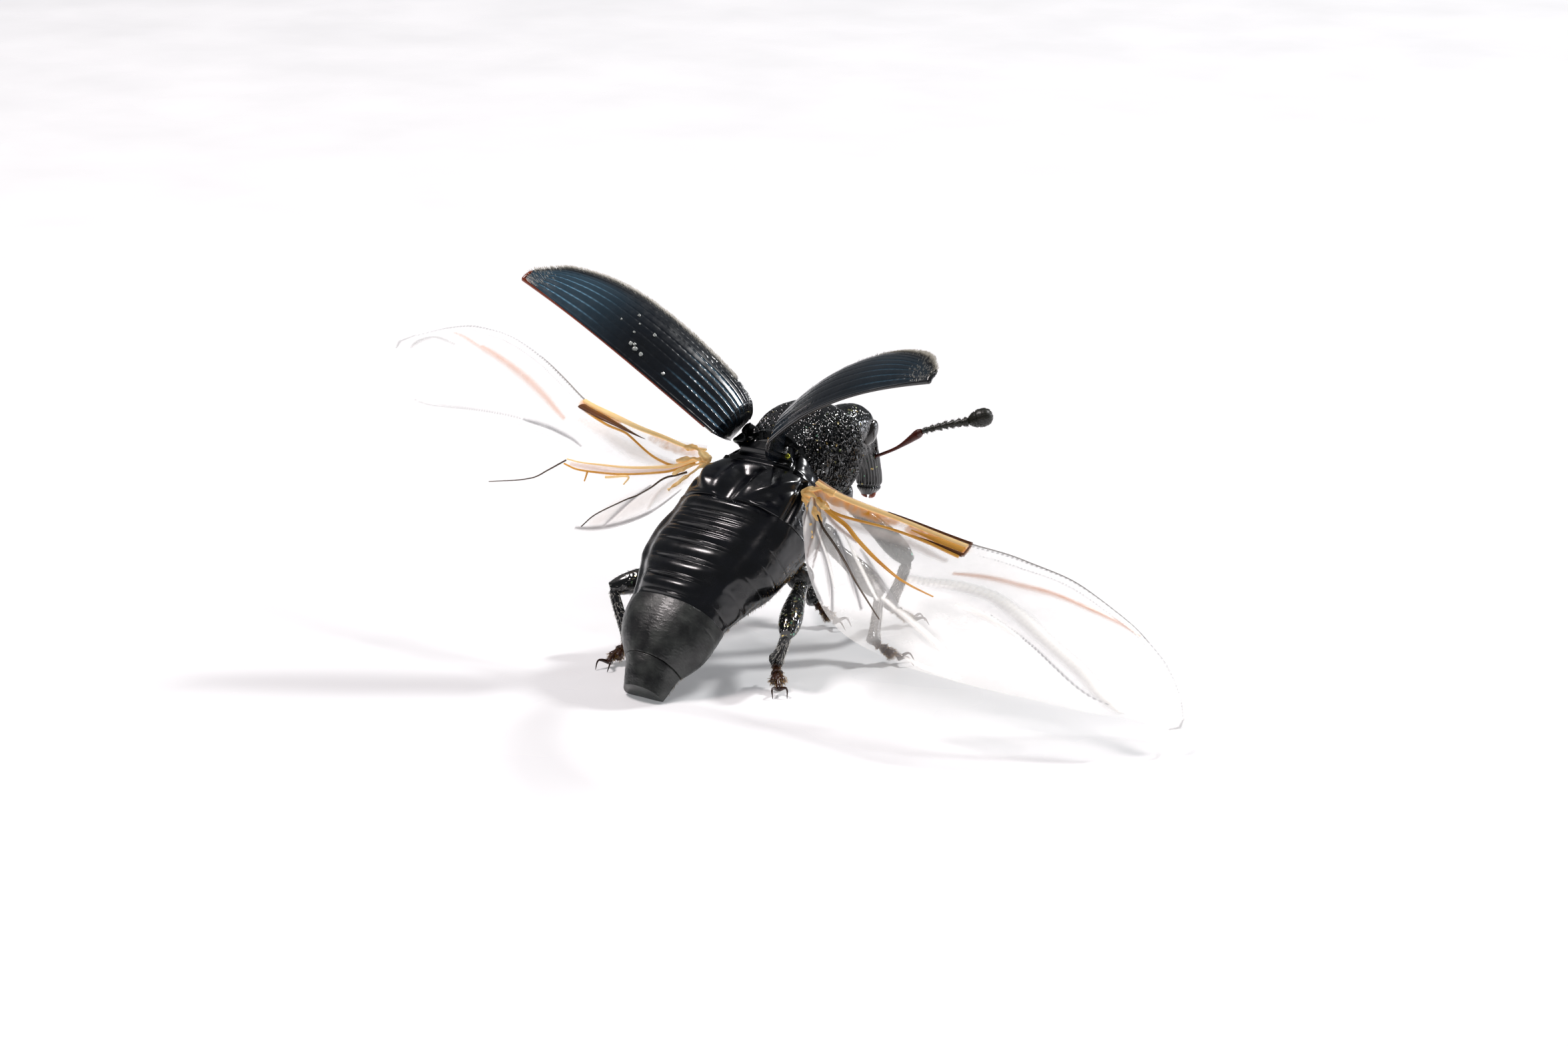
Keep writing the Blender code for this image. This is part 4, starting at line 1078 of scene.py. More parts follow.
def case_joint():
    """The wrinkled joint pieces between the left wing case and the body, and on the right a small green-gold
    metal bead that is a painted glint.
    """
    hinge = HIND.at(ELYTRON_HINGE["left"][0] - BOX_LEFT, *ELYTRON_HINGE["left"][1:])
    spots = (
        (0.0, 0.0, 0.0, 0.34),
        (-0.35, 0.1, -0.1, 0.36),
        (-0.6, 0.3, -0.3, 0.34),
        (0.15, 0.4, -0.35, 0.36),
    )
    parts = [lump(hinge + np.array(spot[:3]), spot[3], 80 + number) for number, spot in enumerate(spots)]
    dress("left_case_joint", *merge(parts), PITTED, [], "black_cuticle")
    # Painted glint: a bright green-gold metal bead.
    dress("right_case_bead", *lump(HIND.at(-1.3, 0.6, 1.66), 0.13, 85), BEAD, [], "black_cuticle")


def case_drops(outer, normal):
    """Dried drops and dust on the left wing case: share of its length, of its width, size."""
    spots = (
        (0.331, 0.127, 0.09), (0.505, 0.147, 0.1), (0.477, 0.135, 0.12), (0.447, 0.127, 0.1),
        (0.489, 0.165, 0.08), (0.465, 0.382, 0.09), (0.599, 0.293, 0.05), (0.535, 0.378, 0.05),
        (0.526, 0.263, 0.06), (0.565, 0.459, 0.07),
    )
    parts = []
    for number, (u, v, size) in enumerate(spots):
        i, j = int(u * (outer.shape[0] - 1)), int(v * (outer.shape[1] - 1))
        parts.append(lump(outer[i, j] + normal[i, j] * size * 0.2, size, 90 + number))
    dress("left_case_drops", *merge(parts), DROP, [], "wing_case")


def case_hairs(word, outer, normal):
    """Short pale hairs along the outer edge and the tip, where the photo shows silver fuzz."""
    draw = np.random.default_rng(31)
    count = 3400
    i = (draw.uniform(0.08, 1.0, count) ** 0.8 * (outer.shape[0] - 2)).astype(int)
    j = ((1.0 - np.abs(draw.normal(0.0, 0.07, count)).clip(0.0, 0.4)) * (outer.shape[1] - 1)).astype(int)
    tip = draw.uniform(0.0, 1.0, count) < 0.04
    i = np.where(tip, (outer.shape[0] - 1) - (draw.uniform(0.0, 0.1, count) * outer.shape[0]).astype(int), i)
    j = np.where(tip, draw.integers(0, outer.shape[1] - 1, count), j)
    along = elytron_axes(word)[0]
    way = unit(normal[i, j] + along * 0.8 + draw.normal(0.0, 0.15, (count, 3)))
    end = outer[i, j] + unit(normal[i, j] * 0.55 + along) * draw.uniform(0.1, 0.2, count)[:, None]
    patch = np.column_stack((j / outer.shape[1], i / outer.shape[0]))
    hairs(f"elytron_{word}_hairs", outer[i, j], way, end, 0.02, patch, HAIR, "wing_case")


# Hind wings


def wing_grid(word, rows, cols):
    """The smooth middle face of a hind wing, from root to tip and from front to rear edge."""
    side = SIDES[word]
    root = on_hind(word, WING_ROOT[word])
    cell, tip = WING_REACH[word]
    anchors = [root] + [root + np.array((side * a[1], -a[0], a[2])) for a in (cell, tip)]
    line = smooth_line(anchors, rows)[:, None]
    u = np.linspace(0.0, 1.0, rows)
    v = np.linspace(0.0, 1.0, cols)[None, :]
    front, rear = curve(WING_PLAN, u).T
    droop = np.radians(WING_DROOP[word][0] + (WING_DROOP[word][1] - WING_DROOP[word][0]) * u)
    way = np.stack((np.zeros(rows), np.cos(droop), -np.sin(droop)), axis=-1)[:, None]
    chord = front[:, None] + (rear - front)[:, None] * v
    lift = WING_CAMBER * np.sin(math.pi * v) * np.sin(math.pi * np.minimum(u * 1.3, 1.0))[:, None]
    grid = line + way * chord[..., None] + UP * lift[..., None]
    above = grid[..., 2] - WING_LOW
    grid[..., 2] = np.where(above < 1.0, WING_LOW + np.exp(np.minimum(above, 1.0) - 1.0), grid[..., 2])
    normal = normals(grid, False)
    normal[normal[..., 2] < 0] *= -1.0
    return u[:, None], v, grid, normal


def on_grid(grid, u, v):
    """Points of a grid at shares of its rows and columns."""
    rows, cols = grid.shape[:2]
    i, j = np.clip(u, 0.0, 1.0) * (rows - 1), np.clip(v, 0.0, 1.0) * (cols - 1)
    a, b = np.minimum(i.astype(int), rows - 2), np.minimum(j.astype(int), cols - 2)
    s, t = (i - a)[..., None], (j - b)[..., None]
    near = grid[a, b] * (1.0 - t) + grid[a, b + 1] * t
    far = grid[a + 1, b] * (1.0 - t) + grid[a + 1, b + 1] * t
    return near * (1.0 - s) + far * s


def from_path(u, v, path):
    """Distance in millimetres from each place on a wing to a path over it, and the share along it."""
    line = smooth_line([(a, b, 0.0) for a, b in path], PATH_STEPS)
    front, rear = curve(WING_PLAN, u[:, 0]).T
    chord = (rear - front)[:, None]
    best = np.full(np.broadcast_shapes(u.shape, v.shape), 1e9)
    share = np.zeros_like(best)
    for number, (a, b, _) in enumerate(line):
        off = ((u - a) * WING_SPAN) ** 2 + ((v - b) * chord) ** 2
        share = np.where(off < best, number / (PATH_STEPS - 1.0), share)
        best = np.minimum(best, off)
    return np.sqrt(best), share


def ribbon(face, path, half, raised):
    """A thin closed strip that lies on the wing along a path; half is its half width at each end."""
    line = smooth_line([(a, b, 0.0) for a, b in path], PATH_STEPS)
    centre = on_grid(face, line[:, 0], line[:, 1])
    along = unit(np.gradient(centre, axis=0))
    across = unit(np.cross(along, UP))
    up = np.cross(across, along)
    wide = np.interp(np.linspace(0.0, 1.0, PATH_STEPS), np.linspace(0.0, 1.0, len(half)), half)
    turn = ring_angles(16)
    return tube(
        centre[:, None]
        + across[:, None] * (wide[:, None] * np.cos(turn))[..., None]
        + up[:, None] * ((raised * np.minimum(wide / max(half), 1.0))[:, None] * np.sin(turn))[..., None]
    )


# Paths on a wing: share of the span and of the chord at a few places along each.
LONG_FOLD = ((0.32, 0.46), (0.44, 0.39), (0.52, 0.39), (0.65, 0.51), (0.77, 0.63), (0.88, 0.89))
# Folds: path, half width, how grey (painted shade in the pleats; below zero it clears that shade for a
# painted white glare band), how much stain, how milky (the film's density, and painted glare in the
# glare bands), how far it stands up.
WING_FOLDS = {
    "left": (
        (((0.06, 0.34), (0.16, 0.26), (0.26, 0.2), (0.35, 0.2)), 0.42, 0.05, 0.12, 0.6, 0.1),
        (((0.02, 0.4), (0.11, 0.43), (0.2, 0.48), (0.3, 0.54)), 0.22, 0.1, 0.55, 0.7, 0.08),
        (((0.03, 0.72), (0.1, 0.78), (0.17, 0.9)), 0.8, 0.1, 0.12, 0.5, 0.0),
        (((0.03, 0.6), (0.06, 0.7), (0.07, 0.9)), 0.14, 0.0, 0.0, 0.9, 0.1),
        (((0.09, 0.6), (0.12, 0.75), (0.15, 0.95)), 0.1, 0.75, 0.0, 0.75, -0.08),
        (((0.02, 0.97), (0.1, 0.97), (0.21, 0.96)), 0.14, 0.6, 0.0, 0.8, 0.0),
        (((0.31, 0.38), (0.35, 0.36), (0.42, 0.38), (0.5, 0.45)), 0.12, 0.75, 0.0, 0.62, -0.12),
        (((0.42, 0.38), (0.58, 0.53), (0.69, 0.68), (0.81, 0.97)), 0.08, 0.6, 0.0, 0.42, -0.1),
        (((0.33, 0.41), (0.45, 0.45), (0.6, 0.6)), 0.16, 0.0, 0.0, 0.55, 0.1),
        (((0.4, 0.26), (0.52, 0.215), (0.66, 0.205), (0.78, 0.2)), 0.3, 0.0, 0.85, 0.5, 0.05),
        (((0.6, 0.2), (0.75, 0.22), (0.82, 0.2), (0.89, 0.17)), 0.16, 0.0, 0.7, 0.42, 0.04),
        (((0.38, 0.035), (0.6, 0.005), (0.85, 0.01), (0.98, 0.15)), 0.09, 0.8, 0.0, 0.6, 0.0),
        (((0.4, 0.08), (0.6, 0.055), (0.85, 0.07)), 0.05, 0.6, 0.0, 0.4, 0.04),
        (((0.86, 0.32), (0.92, 0.34), (0.945, 0.45), (0.95, 0.7)), 0.16, 0.45, 0.0, 0.5, 0.12),
        (((0.98, 0.1), (0.995, 0.5), (0.985, 0.95)), 0.1, 0.6, 0.0, 0.5, 0.0),
    ),
    "right": (
        (LONG_FOLD, 0.5, 0.6, 0.0, 0.5, 0.0),
        (LONG_FOLD, 0.38, -1.0, 0.0, 0.95, 0.2),
        (((0.53, 0.51), (0.67, 0.62), (0.85, 0.85)), 0.06, 0.9, 0.0, 0.7, -0.08),
        (((0.45, 0.52), (0.53, 0.54), (0.61, 0.58)), 0.16, -1.0, 0.0, 0.85, 0.08),
        (((0.28, 0.66), (0.4, 0.75), (0.52, 0.87)), 0.16, -1.0, 0.0, 0.8, 0.08),
        (((0.5, 0.79), (0.54, 0.82), (0.59, 0.88)), 0.13, -1.0, 0.0, 0.8, 0.06),
        (((0.41, 0.95), (0.48, 0.97), (0.56, 0.97)), 0.12, -1.0, 0.0, 0.85, 0.0),
        (((0.02, 0.4), (0.025, 0.7), (0.04, 0.98)), 0.75, 0.45, 0.08, 0.95, 0.12),
        (((0.01, 0.45), (0.015, 0.7), (0.02, 0.9)), 0.2, -1.0, 0.1, 0.95, 0.1),
        (((0.0, 0.5), (0.005, 0.75), (0.01, 0.97)), 0.07, 0.75, 0.2, 0.95, -0.08),
        (((0.0, 0.35), (0.035, 0.6), (0.05, 0.95)), 0.1, 0.8, 0.25, 0.95, -0.1),
        (((0.0, 0.3), (0.05, 0.5), (0.075, 0.9)), 0.08, 0.7, 0.2, 0.9, -0.08),
        (((0.0, 0.25), (0.07, 0.36), (0.15, 0.38)), 0.14, 0.3, 0.45, 0.9, 0.08),
        (((0.01, 0.7), (0.06, 0.66), (0.11, 0.74), (0.17, 0.93)), 0.2, 0.6, 0.0, 0.8, -0.12),
        (((0.05, 0.6), (0.1, 0.68), (0.15, 0.8)), 0.1, -1.0, 0.0, 0.95, 0.14),
        (((0.09, 0.42), (0.16, 0.6), (0.24, 0.79)), 0.17, 0.65, 0.0, 0.78, -0.1),
        (((0.12, 0.4), (0.19, 0.54), (0.27, 0.69)), 0.09, -1.0, 0.0, 0.95, 0.12),
        (((0.17, 0.42), (0.25, 0.55), (0.33, 0.68)), 0.14, 0.5, 0.0, 0.65, -0.08),
        (((0.03, 0.96), (0.08, 0.975), (0.14, 0.975)), 0.12, 0.5, 0.0, 0.7, 0.0),
        (((0.08, 0.3), (0.16, 0.24), (0.26, 0.2), (0.36, 0.22)), 0.34, 0.2, 0.2, 0.6, 0.08),
        (((0.4, 0.3), (0.48, 0.24), (0.56, 0.2), (0.66, 0.14)), 0.24, 0.0, 0.85, 0.6, 0.05),
        (((0.56, 0.2), (0.64, 0.15), (0.72, 0.08), (0.78, 0.03)), 0.17, 0.0, 1.0, 0.6, 0.04),
        (((0.38, 0.02), (0.6, 0.005), (0.85, 0.01), (0.97, 0.12)), 0.09, 0.8, 0.0, 0.7, 0.0),
        (((0.42, 0.09), (0.6, 0.06), (0.8, 0.05)), 0.05, 0.7, 0.0, 0.5, 0.04),
        (((0.98, 0.1), (0.995, 0.5), (0.985, 0.95)), 0.1, 0.6, 0.0, 0.6, 0.0),
    ),
}
WING_MILK = {"left": 0.16, "right": 0.24}
# Golden skin: path, half width, how golden.
WING_GOLD = {
    "left": (
        (((0.26, 0.05), (0.32, 0.06), (0.38, 0.065)), 0.3, 1.0),
        (((0.0, 0.2), (0.06, 0.12), (0.14, 0.06)), 0.3, 0.6),
    ),
    "right": (
        (((0.0, 0.16), (0.05, 0.11), (0.12, 0.08), (0.2, 0.06)), 0.42, 0.95),
        (((0.0, 0.3), (0.04, 0.24), (0.09, 0.24)), 0.35, 0.6),
        (((0.16, 0.06), (0.22, 0.05), (0.3, 0.045)), 0.36, 0.5),
        (((0.25, 0.075), (0.31, 0.07), (0.375, 0.07)), 0.34, 1.0),
    ),
}
# Veins: path, half width at even places along it, how far it stands up, finish.
WING_VEINS = {
    "left": (
        (
            ((0.0, 0.12), (0.1, 0.025), (0.2, 0.02), (0.3, 0.025), (0.385, 0.035)),
            (0.1, 0.13, 0.16, 0.17, 0.12), 0.1, "gold",
        ),
        (((0.16, 0.1), (0.26, 0.08), (0.38, 0.085)), (0.02, 0.14, 0.24, 0.24), 0.09, "brown"),
        (
            ((0.05, 0.38), (0.1, 0.29), (0.21, 0.12), (0.28, 0.125), (0.38, 0.1)),
            (0.06, 0.05, 0.05, 0.06), 0.07, "amber",
        ),
        (
            ((0.01, 0.36), (0.11, 0.395), (0.2, 0.44), (0.28, 0.5), (0.32, 0.52)),
            (0.12, 0.09, 0.07, 0.05, 0.04), 0.09, "gold",
        ),
        (
            ((0.01, 0.43), (0.11, 0.46), (0.2, 0.51), (0.28, 0.56), (0.32, 0.56)),
            (0.06, 0.05, 0.05, 0.04), 0.06, "amber",
        ),
        (((0.32, 0.53), (0.35, 0.65), (0.38, 0.75), (0.48, 0.91)), (0.04, 0.03, 0.02), 0.04, "dark"),
        (((0.25, 0.54), (0.245, 0.62)), (0.05, 0.03), 0.05, "amber"),
        (((0.2, 0.54), (0.15, 0.5), (0.15, 0.58)), (0.06, 0.05, 0.03), 0.06, "gold"),
        (
            ((0.02, 0.58), (0.06, 0.52), (0.09, 0.64), (0.13, 0.73), (0.18, 0.85), (0.2, 0.95)),
            (0.05, 0.035, 0.025), 0.05, "dark",
        ),
        (((0.38, 0.03), (0.5, 0.01), (0.6, 0.0)), (0.045, 0.03, 0.01), 0.03, "grey"),
    ),
    "right": (
        (
            ((0.0, 0.1), (0.06, 0.05), (0.13, 0.035), (0.2, 0.03), (0.3, 0.03), (0.38, 0.035)),
            (0.12, 0.17, 0.17, 0.13, 0.14, 0.16), 0.1, "gold",
        ),
        (((0.18, 0.005), (0.28, 0.0), (0.385, 0.0)), (0.015, 0.035, 0.05), 0.09, "brown"),
        (((0.25, 0.08), (0.31, 0.075), (0.38, 0.075)), (0.04, 0.2, 0.22), 0.1, "amber"),
        (((0.26, 0.12), (0.31, 0.115), (0.385, 0.125)), (0.02, 0.09, 0.13), 0.09, "brown"),
        (((0.384, 0.0), (0.386, 0.06), (0.387, 0.125)), (0.03, 0.03), 0.09, "brown"),
        (
            ((0.04, 0.3), (0.12, 0.21), (0.2, 0.15), (0.3, 0.13), (0.38, 0.15)),
            (0.06, 0.05, 0.06), 0.07, "amber",
        ),
        (
            ((0.02, 0.32), (0.1, 0.3), (0.15, 0.36), (0.23, 0.44), (0.31, 0.5), (0.39, 0.52)),
            (0.13, 0.11, 0.1, 0.07, 0.04), 0.09, "amber",
        ),
        (((0.03, 0.5), (0.1, 0.53), (0.2, 0.66), (0.3, 0.8)), (0.06, 0.05, 0.03), 0.05, "dark"),
        (((0.36, 0.0), (0.5, 0.0), (0.65, 0.002), (0.8, 0.005)), (0.05, 0.035, 0.015), 0.03, "grey"),
    ),
}


def hindwing(word):
    """A clear folded film with amber veins, a pink-brown streak and golden skin at its root."""
    u, v, grid, normal = wing_grid(word, *GRIDS["hindwing"])
    fold, pleat_shade, stain, gold = (np.zeros(grid.shape[:2]) for _ in range(4))
    milk_and_glare = np.full(grid.shape[:2], WING_MILK[word]) * (1.0 - 0.55 * rise(u, 0.45, 0.95))
    for path, half, grey, tinge, density_and_glare, raised in WING_FOLDS[word]:
        off, share = from_path(u, v, path)
        ends = np.sin(math.pi * np.clip(share, 0.03, 0.97)) ** 0.5
        band = np.exp(-((off / (half * (0.35 + 0.65 * ends))) ** 2))
        # Painted shade: each fold's grey darkens the film; a grey below zero clears that shade along a
        # painted glare band, which its high density makes milky white.
        pleat_shade = np.maximum(pleat_shade * (1.0 - band * (grey < 0.0)), grey * band)
        stain = np.maximum(stain, tinge * band)
        milk_and_glare = np.maximum(milk_and_glare, density_and_glare * band)
        fold = fold + raised * np.exp(-((off / (half * 1.1)) ** 2)) * ends
    for path, half, amount in WING_GOLD[word]:
        off, share = from_path(u, v, path)
        band = amount * np.exp(-((off / half) ** 4)) * (0.8 + 0.4 * grain(grid, 0.25, 19))
        gold = np.maximum(gold, band)
        milk_and_glare = np.maximum(milk_and_glare, 0.9 * band)
    if word == "right":
        milk_and_glare = milk_and_glare * (1.0 - 0.85 * bump_at(u, 0.36, 0.055) * rise(v, 0.86, 0.95))
    fold = fold + 0.05 * grain(grid, 1.7, 15) * rise(u, 0.05, 0.3)
    face = grid + normal * fold[..., None]
    face[..., 2] = np.maximum(face[..., 2], 0.2)
    rim = np.minimum(np.minimum(v, 1.0 - v) * 12.0, np.minimum(u, 1.0 - u) * 30.0)
    half = (WING_THICK / 2.0 * (0.2 + 0.8 * np.clip(rim, 0.0, 1.0)))[..., None]
    outer, inner = face + normal * half, face - normal * half
    solid = [f"hindwing_{word}"]
    film = dress(f"hindwing_{word}_film", *shell(outer, inner), FILM, solid, "wing_membrane", 180.0)
    gold = np.clip(gold, 0.0, 1.0)
    for name, values in (("pleat_shade", pleat_shade), ("milk_and_glare", milk_and_glare), ("stain", stain), ("gold", gold)):
        paint(film, name, np.concatenate((values.ravel(), values.ravel())))
    kinds = {kind: [] for kind in VEIN_FINISHES}
    for path, half, raised, kind in WING_VEINS[word]:
        kinds[kind].append(ribbon(face, path, half, raised))
    for kind, finish in VEIN_FINISHES.items():
        dress(f"hindwing_{word}_{kind}_veins", *merge(kinds[kind]), finish, [], "wing_membrane")
    wing_root_skin(word, face)


def wing_root_skin(word, face):
    """Crumpled strands of golden skin where the wing joins the body."""
    across, back, up = WING_ROOT[word]
    body = on_hind(word, (across - 0.45, back - 0.1, up + 0.05))
    parts = []
    strands = ((0.05, 0.06, 0.3), (0.055, 0.3, 0.26), (0.05, 0.5, 0.22), (0.045, 0.75, 0.18))
    for number, (u, v, size) in enumerate(strands):
        end = on_grid(face, np.array(u), np.array(v))
        line = smooth_line((body, (body + end) / 2.0 + UP * (0.18 - 0.05 * number), end), 40)
        half = size * (0.55 + 0.25 * np.sin(np.linspace(0.0, 9.0 + number, 40)))
        grid = sweep(line, half, half * 0.6, 24, UP)
        grid = grid + normals(grid, True) * (0.07 * grain(grid, 0.22, 16 + number))[..., None]
        parts.append(tube(grid))
    dress(f"hindwing_{word}_root_skin", *merge(parts), ROOT_SKIN, [], "wing_membrane")


# Legs


def plan_rod(a, b, plan, bend, sides=40, rows=110, flat=1.0):
    """A rod between two points; its plan is rows of (share, thickness), and flat widens it."""
    line = smooth_line((a, (a + b) / 2.0 + np.array(bend), b), rows)
    half = curve(plan, np.linspace(0.0, 1.0, rows))[:, 0] / 2.0
    return sweep(line, half * flat, half, sides, UP + 0.01)


def leg(word):
    """One leg: hip, club-shaped thigh with rows of pits, ribbed shin with a hook, foot and claws."""
    root, knee, ankle, toe = (place(*p) for p in LEGS[word])
    side = 1.0 if word.endswith("left") else -1.0
    thigh, shin = unit(knee - root), unit(ankle - knee)
    inner = root - np.array((side * 0.25, 0.0, -0.35))
    hip_plan = ((0.0, 0.9), (0.35, 1.2), (0.7, 1.1), (1.0, 0.5))
    hip = plan_rod(inner, root + thigh * 0.75, hip_plan, (0, 0, 0), rows=50)
    hip = raise_skin(hip, -0.03 * dimples(hip, 0.16))
    dress(f"leg_{word}_hip", *tube(hip), LEG, [f"leg_{word}_coxa"], "black_cuticle")
    rows, cols = GRIDS["leg"]
    femur = plan_rod(root + thigh * 0.35, knee + thigh * 0.12, FEMUR_PLAN, (0.0, 0.0, 0.15), cols, rows)
    pits = 0.035 * dimples(femur, 0.17, 0.1, 0.45, 2)
    femur = raise_skin(femur, 0.01 * grain(femur, 0.3) - pits)
    # Painted glints: the right hind thigh gets a finish with eight times the metal flecks of the other
    # thighs.
    finish = GLINT_THIGH if word == "hind_right" else THIGH
    dress(f"leg_{word}_thigh", *tube(femur), finish, [f"leg_{word}_femur"], "black_cuticle")
    tibia = plan_rod(knee + shin * 0.06, ankle, TIBIA_PLAN, (0.0, 0.0, -0.1), cols, rows, 0.85)
    a = ring_angles(cols)[None, :]
    share = np.linspace(0.0, 1.0, rows)[:, None]
    ribs = 0.022 * np.sin(a * 9.0 + 0.8 * grain(tibia, 0.6))
    ribs = ribs * plateau(share, 0.08, 0.2, 0.9, 1.0)
    tibia = raise_skin(tibia, ribs - 0.015 * dimples(tibia, 0.12, seed=4))
    hook_root = ankle - shin * 0.12
    hook_end = ankle + shin * 0.1 - thigh * 0.34
    _, hook = rod(hook_root, hook_end, ((0.0, 0.2), (0.5, 0.13), (1.0, 0.03)), shin * 0.1, 14, 20)
    dress(f"leg_{word}_shin", *merge([tube(tibia), tube(hook)]), LEG, [f"leg_{word}_tibia"], "black_cuticle")
    foot(word, ankle, toe)
    roots, ways, ends, patch = bristles_on(femur, 160, 0.12, 1.6, 41)
    more = bristles_on(tibia, 300, 0.14, 1.5, 42)
    joined = [np.concatenate((one, two)) for one, two in zip((roots, ways, ends, patch), more)]
    keep = joined[2][:, 2] > 0.05
    joined = [one[keep] for one in joined]
    hairs(f"leg_{word}_hairs", *joined[:3], 0.016, joined[3], HAIR, "black_cuticle")


def foot(word, ankle, toe):
    """Four foot joints, the third wide and two-lobed over a brush of golden pads, and two claws."""
    rest = np.array((toe[0], toe[1], SOLE_HEIGHT))
    way = unit(rest - ankle)
    forward = unit(np.array((way[0], way[1], 0.0)))
    aside = np.array((-forward[1], forward[0], 0.0))
    start, claw_root = ankle - way * 0.02, rest - forward * CLAW_LONG + UP * 0.12
    length = claw_root - start
    parts = []
    for low, high, wide in ((0.0, 0.24, 0.36), (0.22, 0.46, 0.44)):
        plan = ((0.0, wide * 0.45), (0.35, wide * 0.62), (0.8, wide), (0.95, wide * 0.92), (1.0, wide * 0.5))
        parts.append(plan_rod(start + length * low, start + length * high, plan, (0, 0, 0), 28, 36, 1.15))
    for turn in (1, -1):
        a = start + length * 0.44 + aside * turn * 0.04
        b = start + length * 0.74 + aside * turn * 0.18 - UP * 0.04
        parts.append(plan_rod(a, b, ((0.0, 0.22), (0.5, 0.34), (0.85, 0.36), (1.0, 0.16)), (0, 0, 0), 24, 32))
    plan = ((0.0, 0.16), (0.6, 0.2), (0.92, 0.3), (1.0, 0.2))
    parts.append(plan_rod(start + length * 0.6 + UP * 0.08, claw_root, plan, UP * 0.05, 22, 40))
    grids = []
    for grid in parts:
        grid = raise_skin(grid, 0.014 * grain(grid, 0.12, 18))
        grid[..., 2] = np.maximum(grid[..., 2], 0.02)
        grids.append(grid)
    shape = merge([tube(grid) for grid in grids])
    dress(f"leg_{word}_foot", *shape, BROWN, [f"leg_{word}_tarsus"], "brown_cuticle")
    claws = []
    for turn in (1, -1):
        tip = claw_root + forward * CLAW_LONG + aside * turn * 0.3 - UP * (claw_root[2] - 0.03)
        knuckle = claw_root + forward * 0.3 + aside * turn * 0.3 + UP * 0.14
        line = smooth_line((claw_root - forward * 0.1 + aside * turn * 0.04, knuckle, tip), 40)
        half = np.linspace(0.11, 0.012, 40) * (1.0 - 0.2 * np.sin(np.linspace(0.0, math.pi, 40)))
        grid = sweep(line, half, half, 14, UP)
        grid[..., 2] = np.maximum(grid[..., 2], 0.0)
        claws.append(tube(grid))
    dress(f"leg_{word}_claws", *merge(claws), CLAW, [], "brown_cuticle")
    sets = [bristles_on(grid, 50, 0.12, 1.2, 50 + k) for k, grid in enumerate(grids)]
    pads = [bristles_on(grid, 260, 0.16, 0.5, 60 + k) for k, grid in enumerate(grids[2:4])]
    for some in pads:
        down = some[2][:, 2] < some[0][:, 2]
        sets.append(tuple(one[down] for one in some))
    joined = [np.concatenate(one) for one in zip(*sets)]
    joined[2][:, 2] = np.maximum(joined[2][:, 2], 0.01)
    hairs(f"leg_{word}_foot_hairs", *joined[:3], 0.014, joined[3], GOLD_HAIR, "brown_cuticle")


def belly_fringe():
    """Very short golden hairs low on the flanks, along the edges of the belly plates."""
    rows, cols = GRIDS["belly_fringe"]
    count = 900
    _, _, grid = hind_grid(META_END + 0.2, HIND_LENGTH - 0.3, rows, cols)
    draw = np.random.default_rng(71)
    i = draw.integers(2, rows - 2, count)
    angle = draw.uniform(1.6, 2.3, count) * draw.choice((-1.0, 1.0), count) + math.pi / 2.0
    j = ((angle / (2.0 * math.pi)) * cols).astype(int) % cols
    out = normals(grid, True)[i, j]
    way = unit(out + HIND.rows[1] * 0.8 + draw.normal(0.0, 0.15, (count, 3)))
    end = grid[i, j] + unit(out * 0.6 + HIND.rows[1]) * draw.uniform(0.06, 0.15, count)[:, None]
    keep = end[:, 2] > 0.03
    patch = np.column_stack((j / cols, i / rows))
    roots, ways, ends, spots = (one[keep] for one in (grid[i, j], way, end, patch))
    hairs("belly_fringe", roots, ways, ends, 0.012, spots, GOLD_HAIR, "black_cuticle")


# Floor, light and camera


def floor():
    """A sheet of white acrylic: bright and even, with a weak blurred mirror image in it."""
    made, shader, where = finish_of(
        "white_acrylic_floor",
        {
            "IOR": 1.49,
            "Base Color": linear("#f6f6f7"),
            "Emission Color": linear("#f7f8fb"),
            "Emission Strength": FLOOR_GLOW,
        },
    )
    streaks = clouds(made, where, 9.0, 3.0)
    feed(made, ranged(made, streaks, 0.3, 0.7, 0.2, 0.32), shader, "Roughness")
    half = FLOOR_HALF
    corners = [(-half, -half, 0), (half, -half, 0), (half, half, 0), (-half, half, 0)]
    mesh = bpy.data.meshes.new("floor")
    mesh.from_pydata(corners, [], [(0, 1, 2, 3)])
    mesh.materials.append(made)
    plane = bpy.data.objects.new("floor", mesh)
    bpy.context.scene.collection.objects.link(plane)


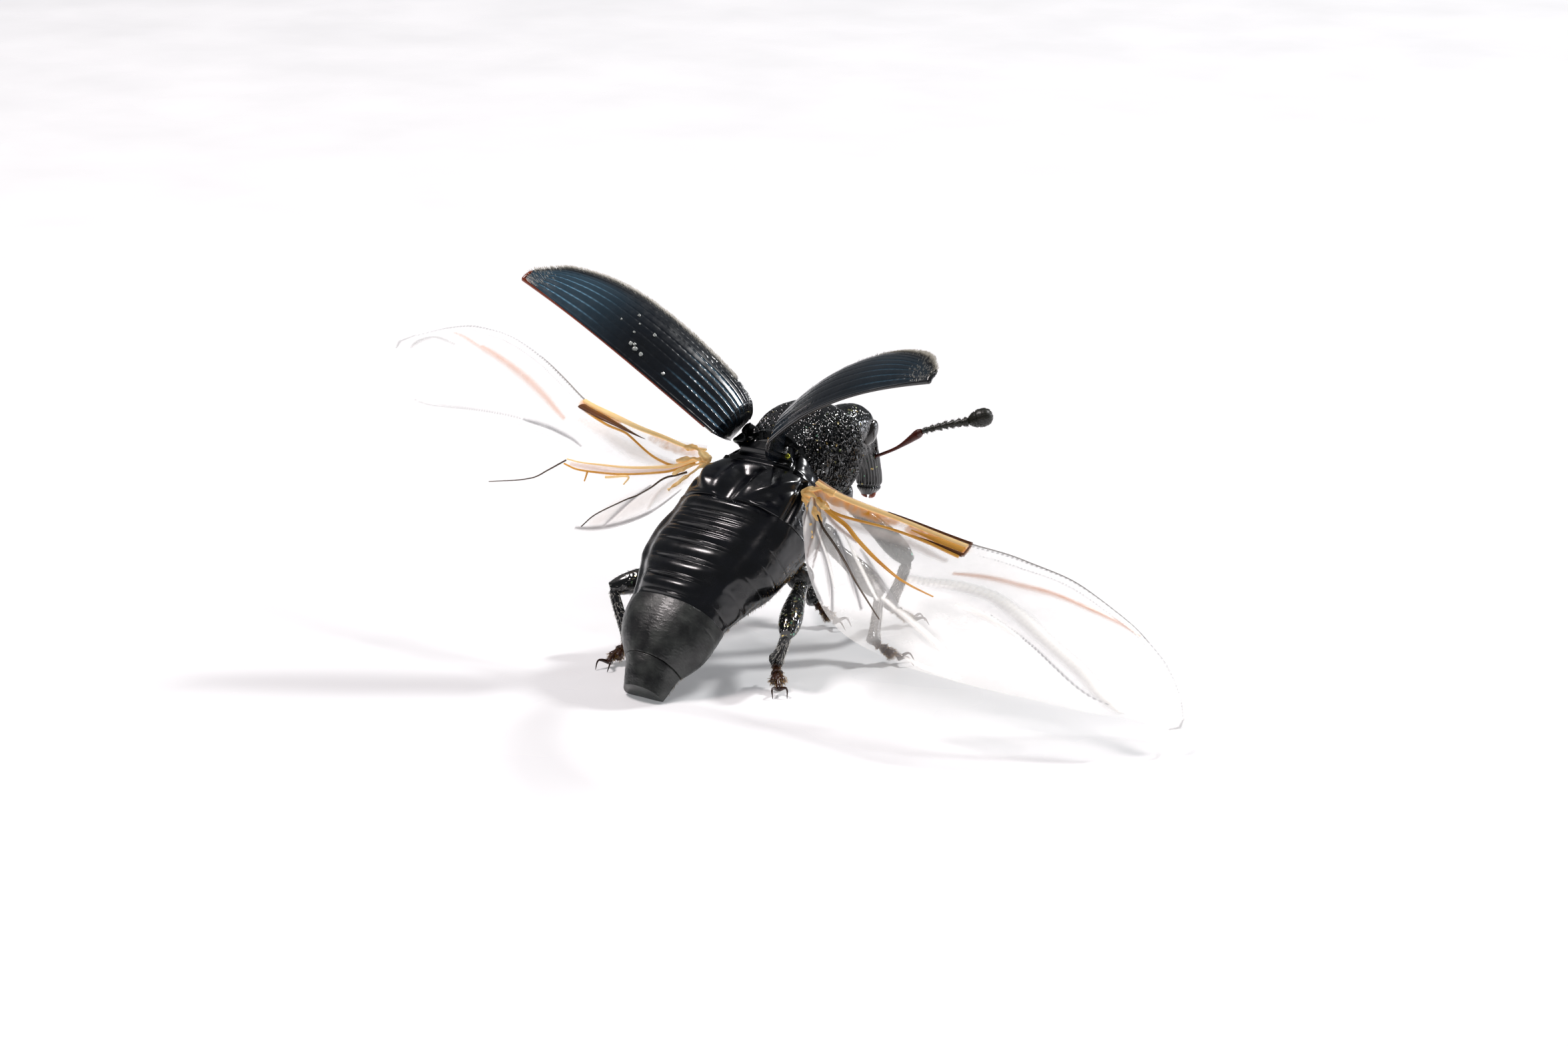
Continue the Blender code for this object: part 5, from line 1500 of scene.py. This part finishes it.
def soft_light(name, spot, aim, size, watts, tint):
    """A square lamp, in metres and watts, turned towards its aim."""
    lamp = bpy.data.lights.new(name, "AREA")
    lamp.energy = watts
    lamp.size = size
    lamp.color = linear(tint)[:3]
    holder = bpy.data.objects.new(name, lamp)
    holder.location = spot
    holder.rotation_euler = (Vector(spot) - Vector(aim)).to_track_quat("Z", "Y").to_euler()
    bpy.context.scene.collection.objects.link(holder)


def studio():
    """A small lamp nearly overhead, another on the right, a weak low one there and a dim pale room."""
    world = bpy.data.worlds.new("studio")
    world.use_nodes = True
    world.node_tree.nodes["Background"].inputs["Color"].default_value = linear("#eef2f8")
    world.node_tree.nodes["Background"].inputs["Strength"].default_value = ROOM_LIGHT
    bpy.context.scene.world = world
    bpy.context.scene.view_settings.view_transform = "Standard"
    for lamp in LAMPS:
        soft_light(*lamp)


def camera():
    """Stands where the photo was taken from, with the tail tip on its pixel of the photo."""
    azimuth, height = math.radians(CAMERA_AZIMUTH), math.radians(CAMERA_HEIGHT)
    back = Vector(
        (math.sin(azimuth) * math.cos(height), -math.cos(azimuth) * math.cos(height), math.sin(height))
    )
    right = Vector((0, 0, 1)).cross(back).normalized()
    up = back.cross(right)
    away = PHOTO_WIDE / PIXELS_PER_MM / CAMERA_SENSOR * CAMERA_LENS
    spot = Vector(place(0.0, 0.0, 0.0)) + back * away
    spot += right * ((PHOTO_WIDE / 2.0 - TAIL_PIXEL[0]) / PIXELS_PER_MM)
    spot += up * ((TAIL_PIXEL[1] - PHOTO_HIGH / 2.0) / PIXELS_PER_MM)
    lens = bpy.data.cameras.new("photo_view")
    lens.lens = CAMERA_LENS
    lens.sensor_width = CAMERA_SENSOR
    lens.clip_start = 0.001
    lens.clip_end = 10.0
    view = bpy.data.objects.new("photo_view", lens)
    turned = Matrix((right, up, back)).transposed().to_4x4()
    turned.translation = spot * MM
    view.matrix_world = turned
    bpy.context.scene.collection.objects.link(view)
    bpy.context.scene.camera = view


def main():
    camera()
    studio()
    floor()
    mesothorax()
    metathorax()
    abdomen()
    last_back_plate()
    tail_plate()
    prothorax()
    line = head()
    neck_skin()
    jaws(line)
    for word in SIDES:
        eye(line, word)
        antenna(line, word)
        elytron(word)
        hindwing(word)
    case_joint()
    for word in LEGS:
        leg(word)
    belly_fringe()


main()
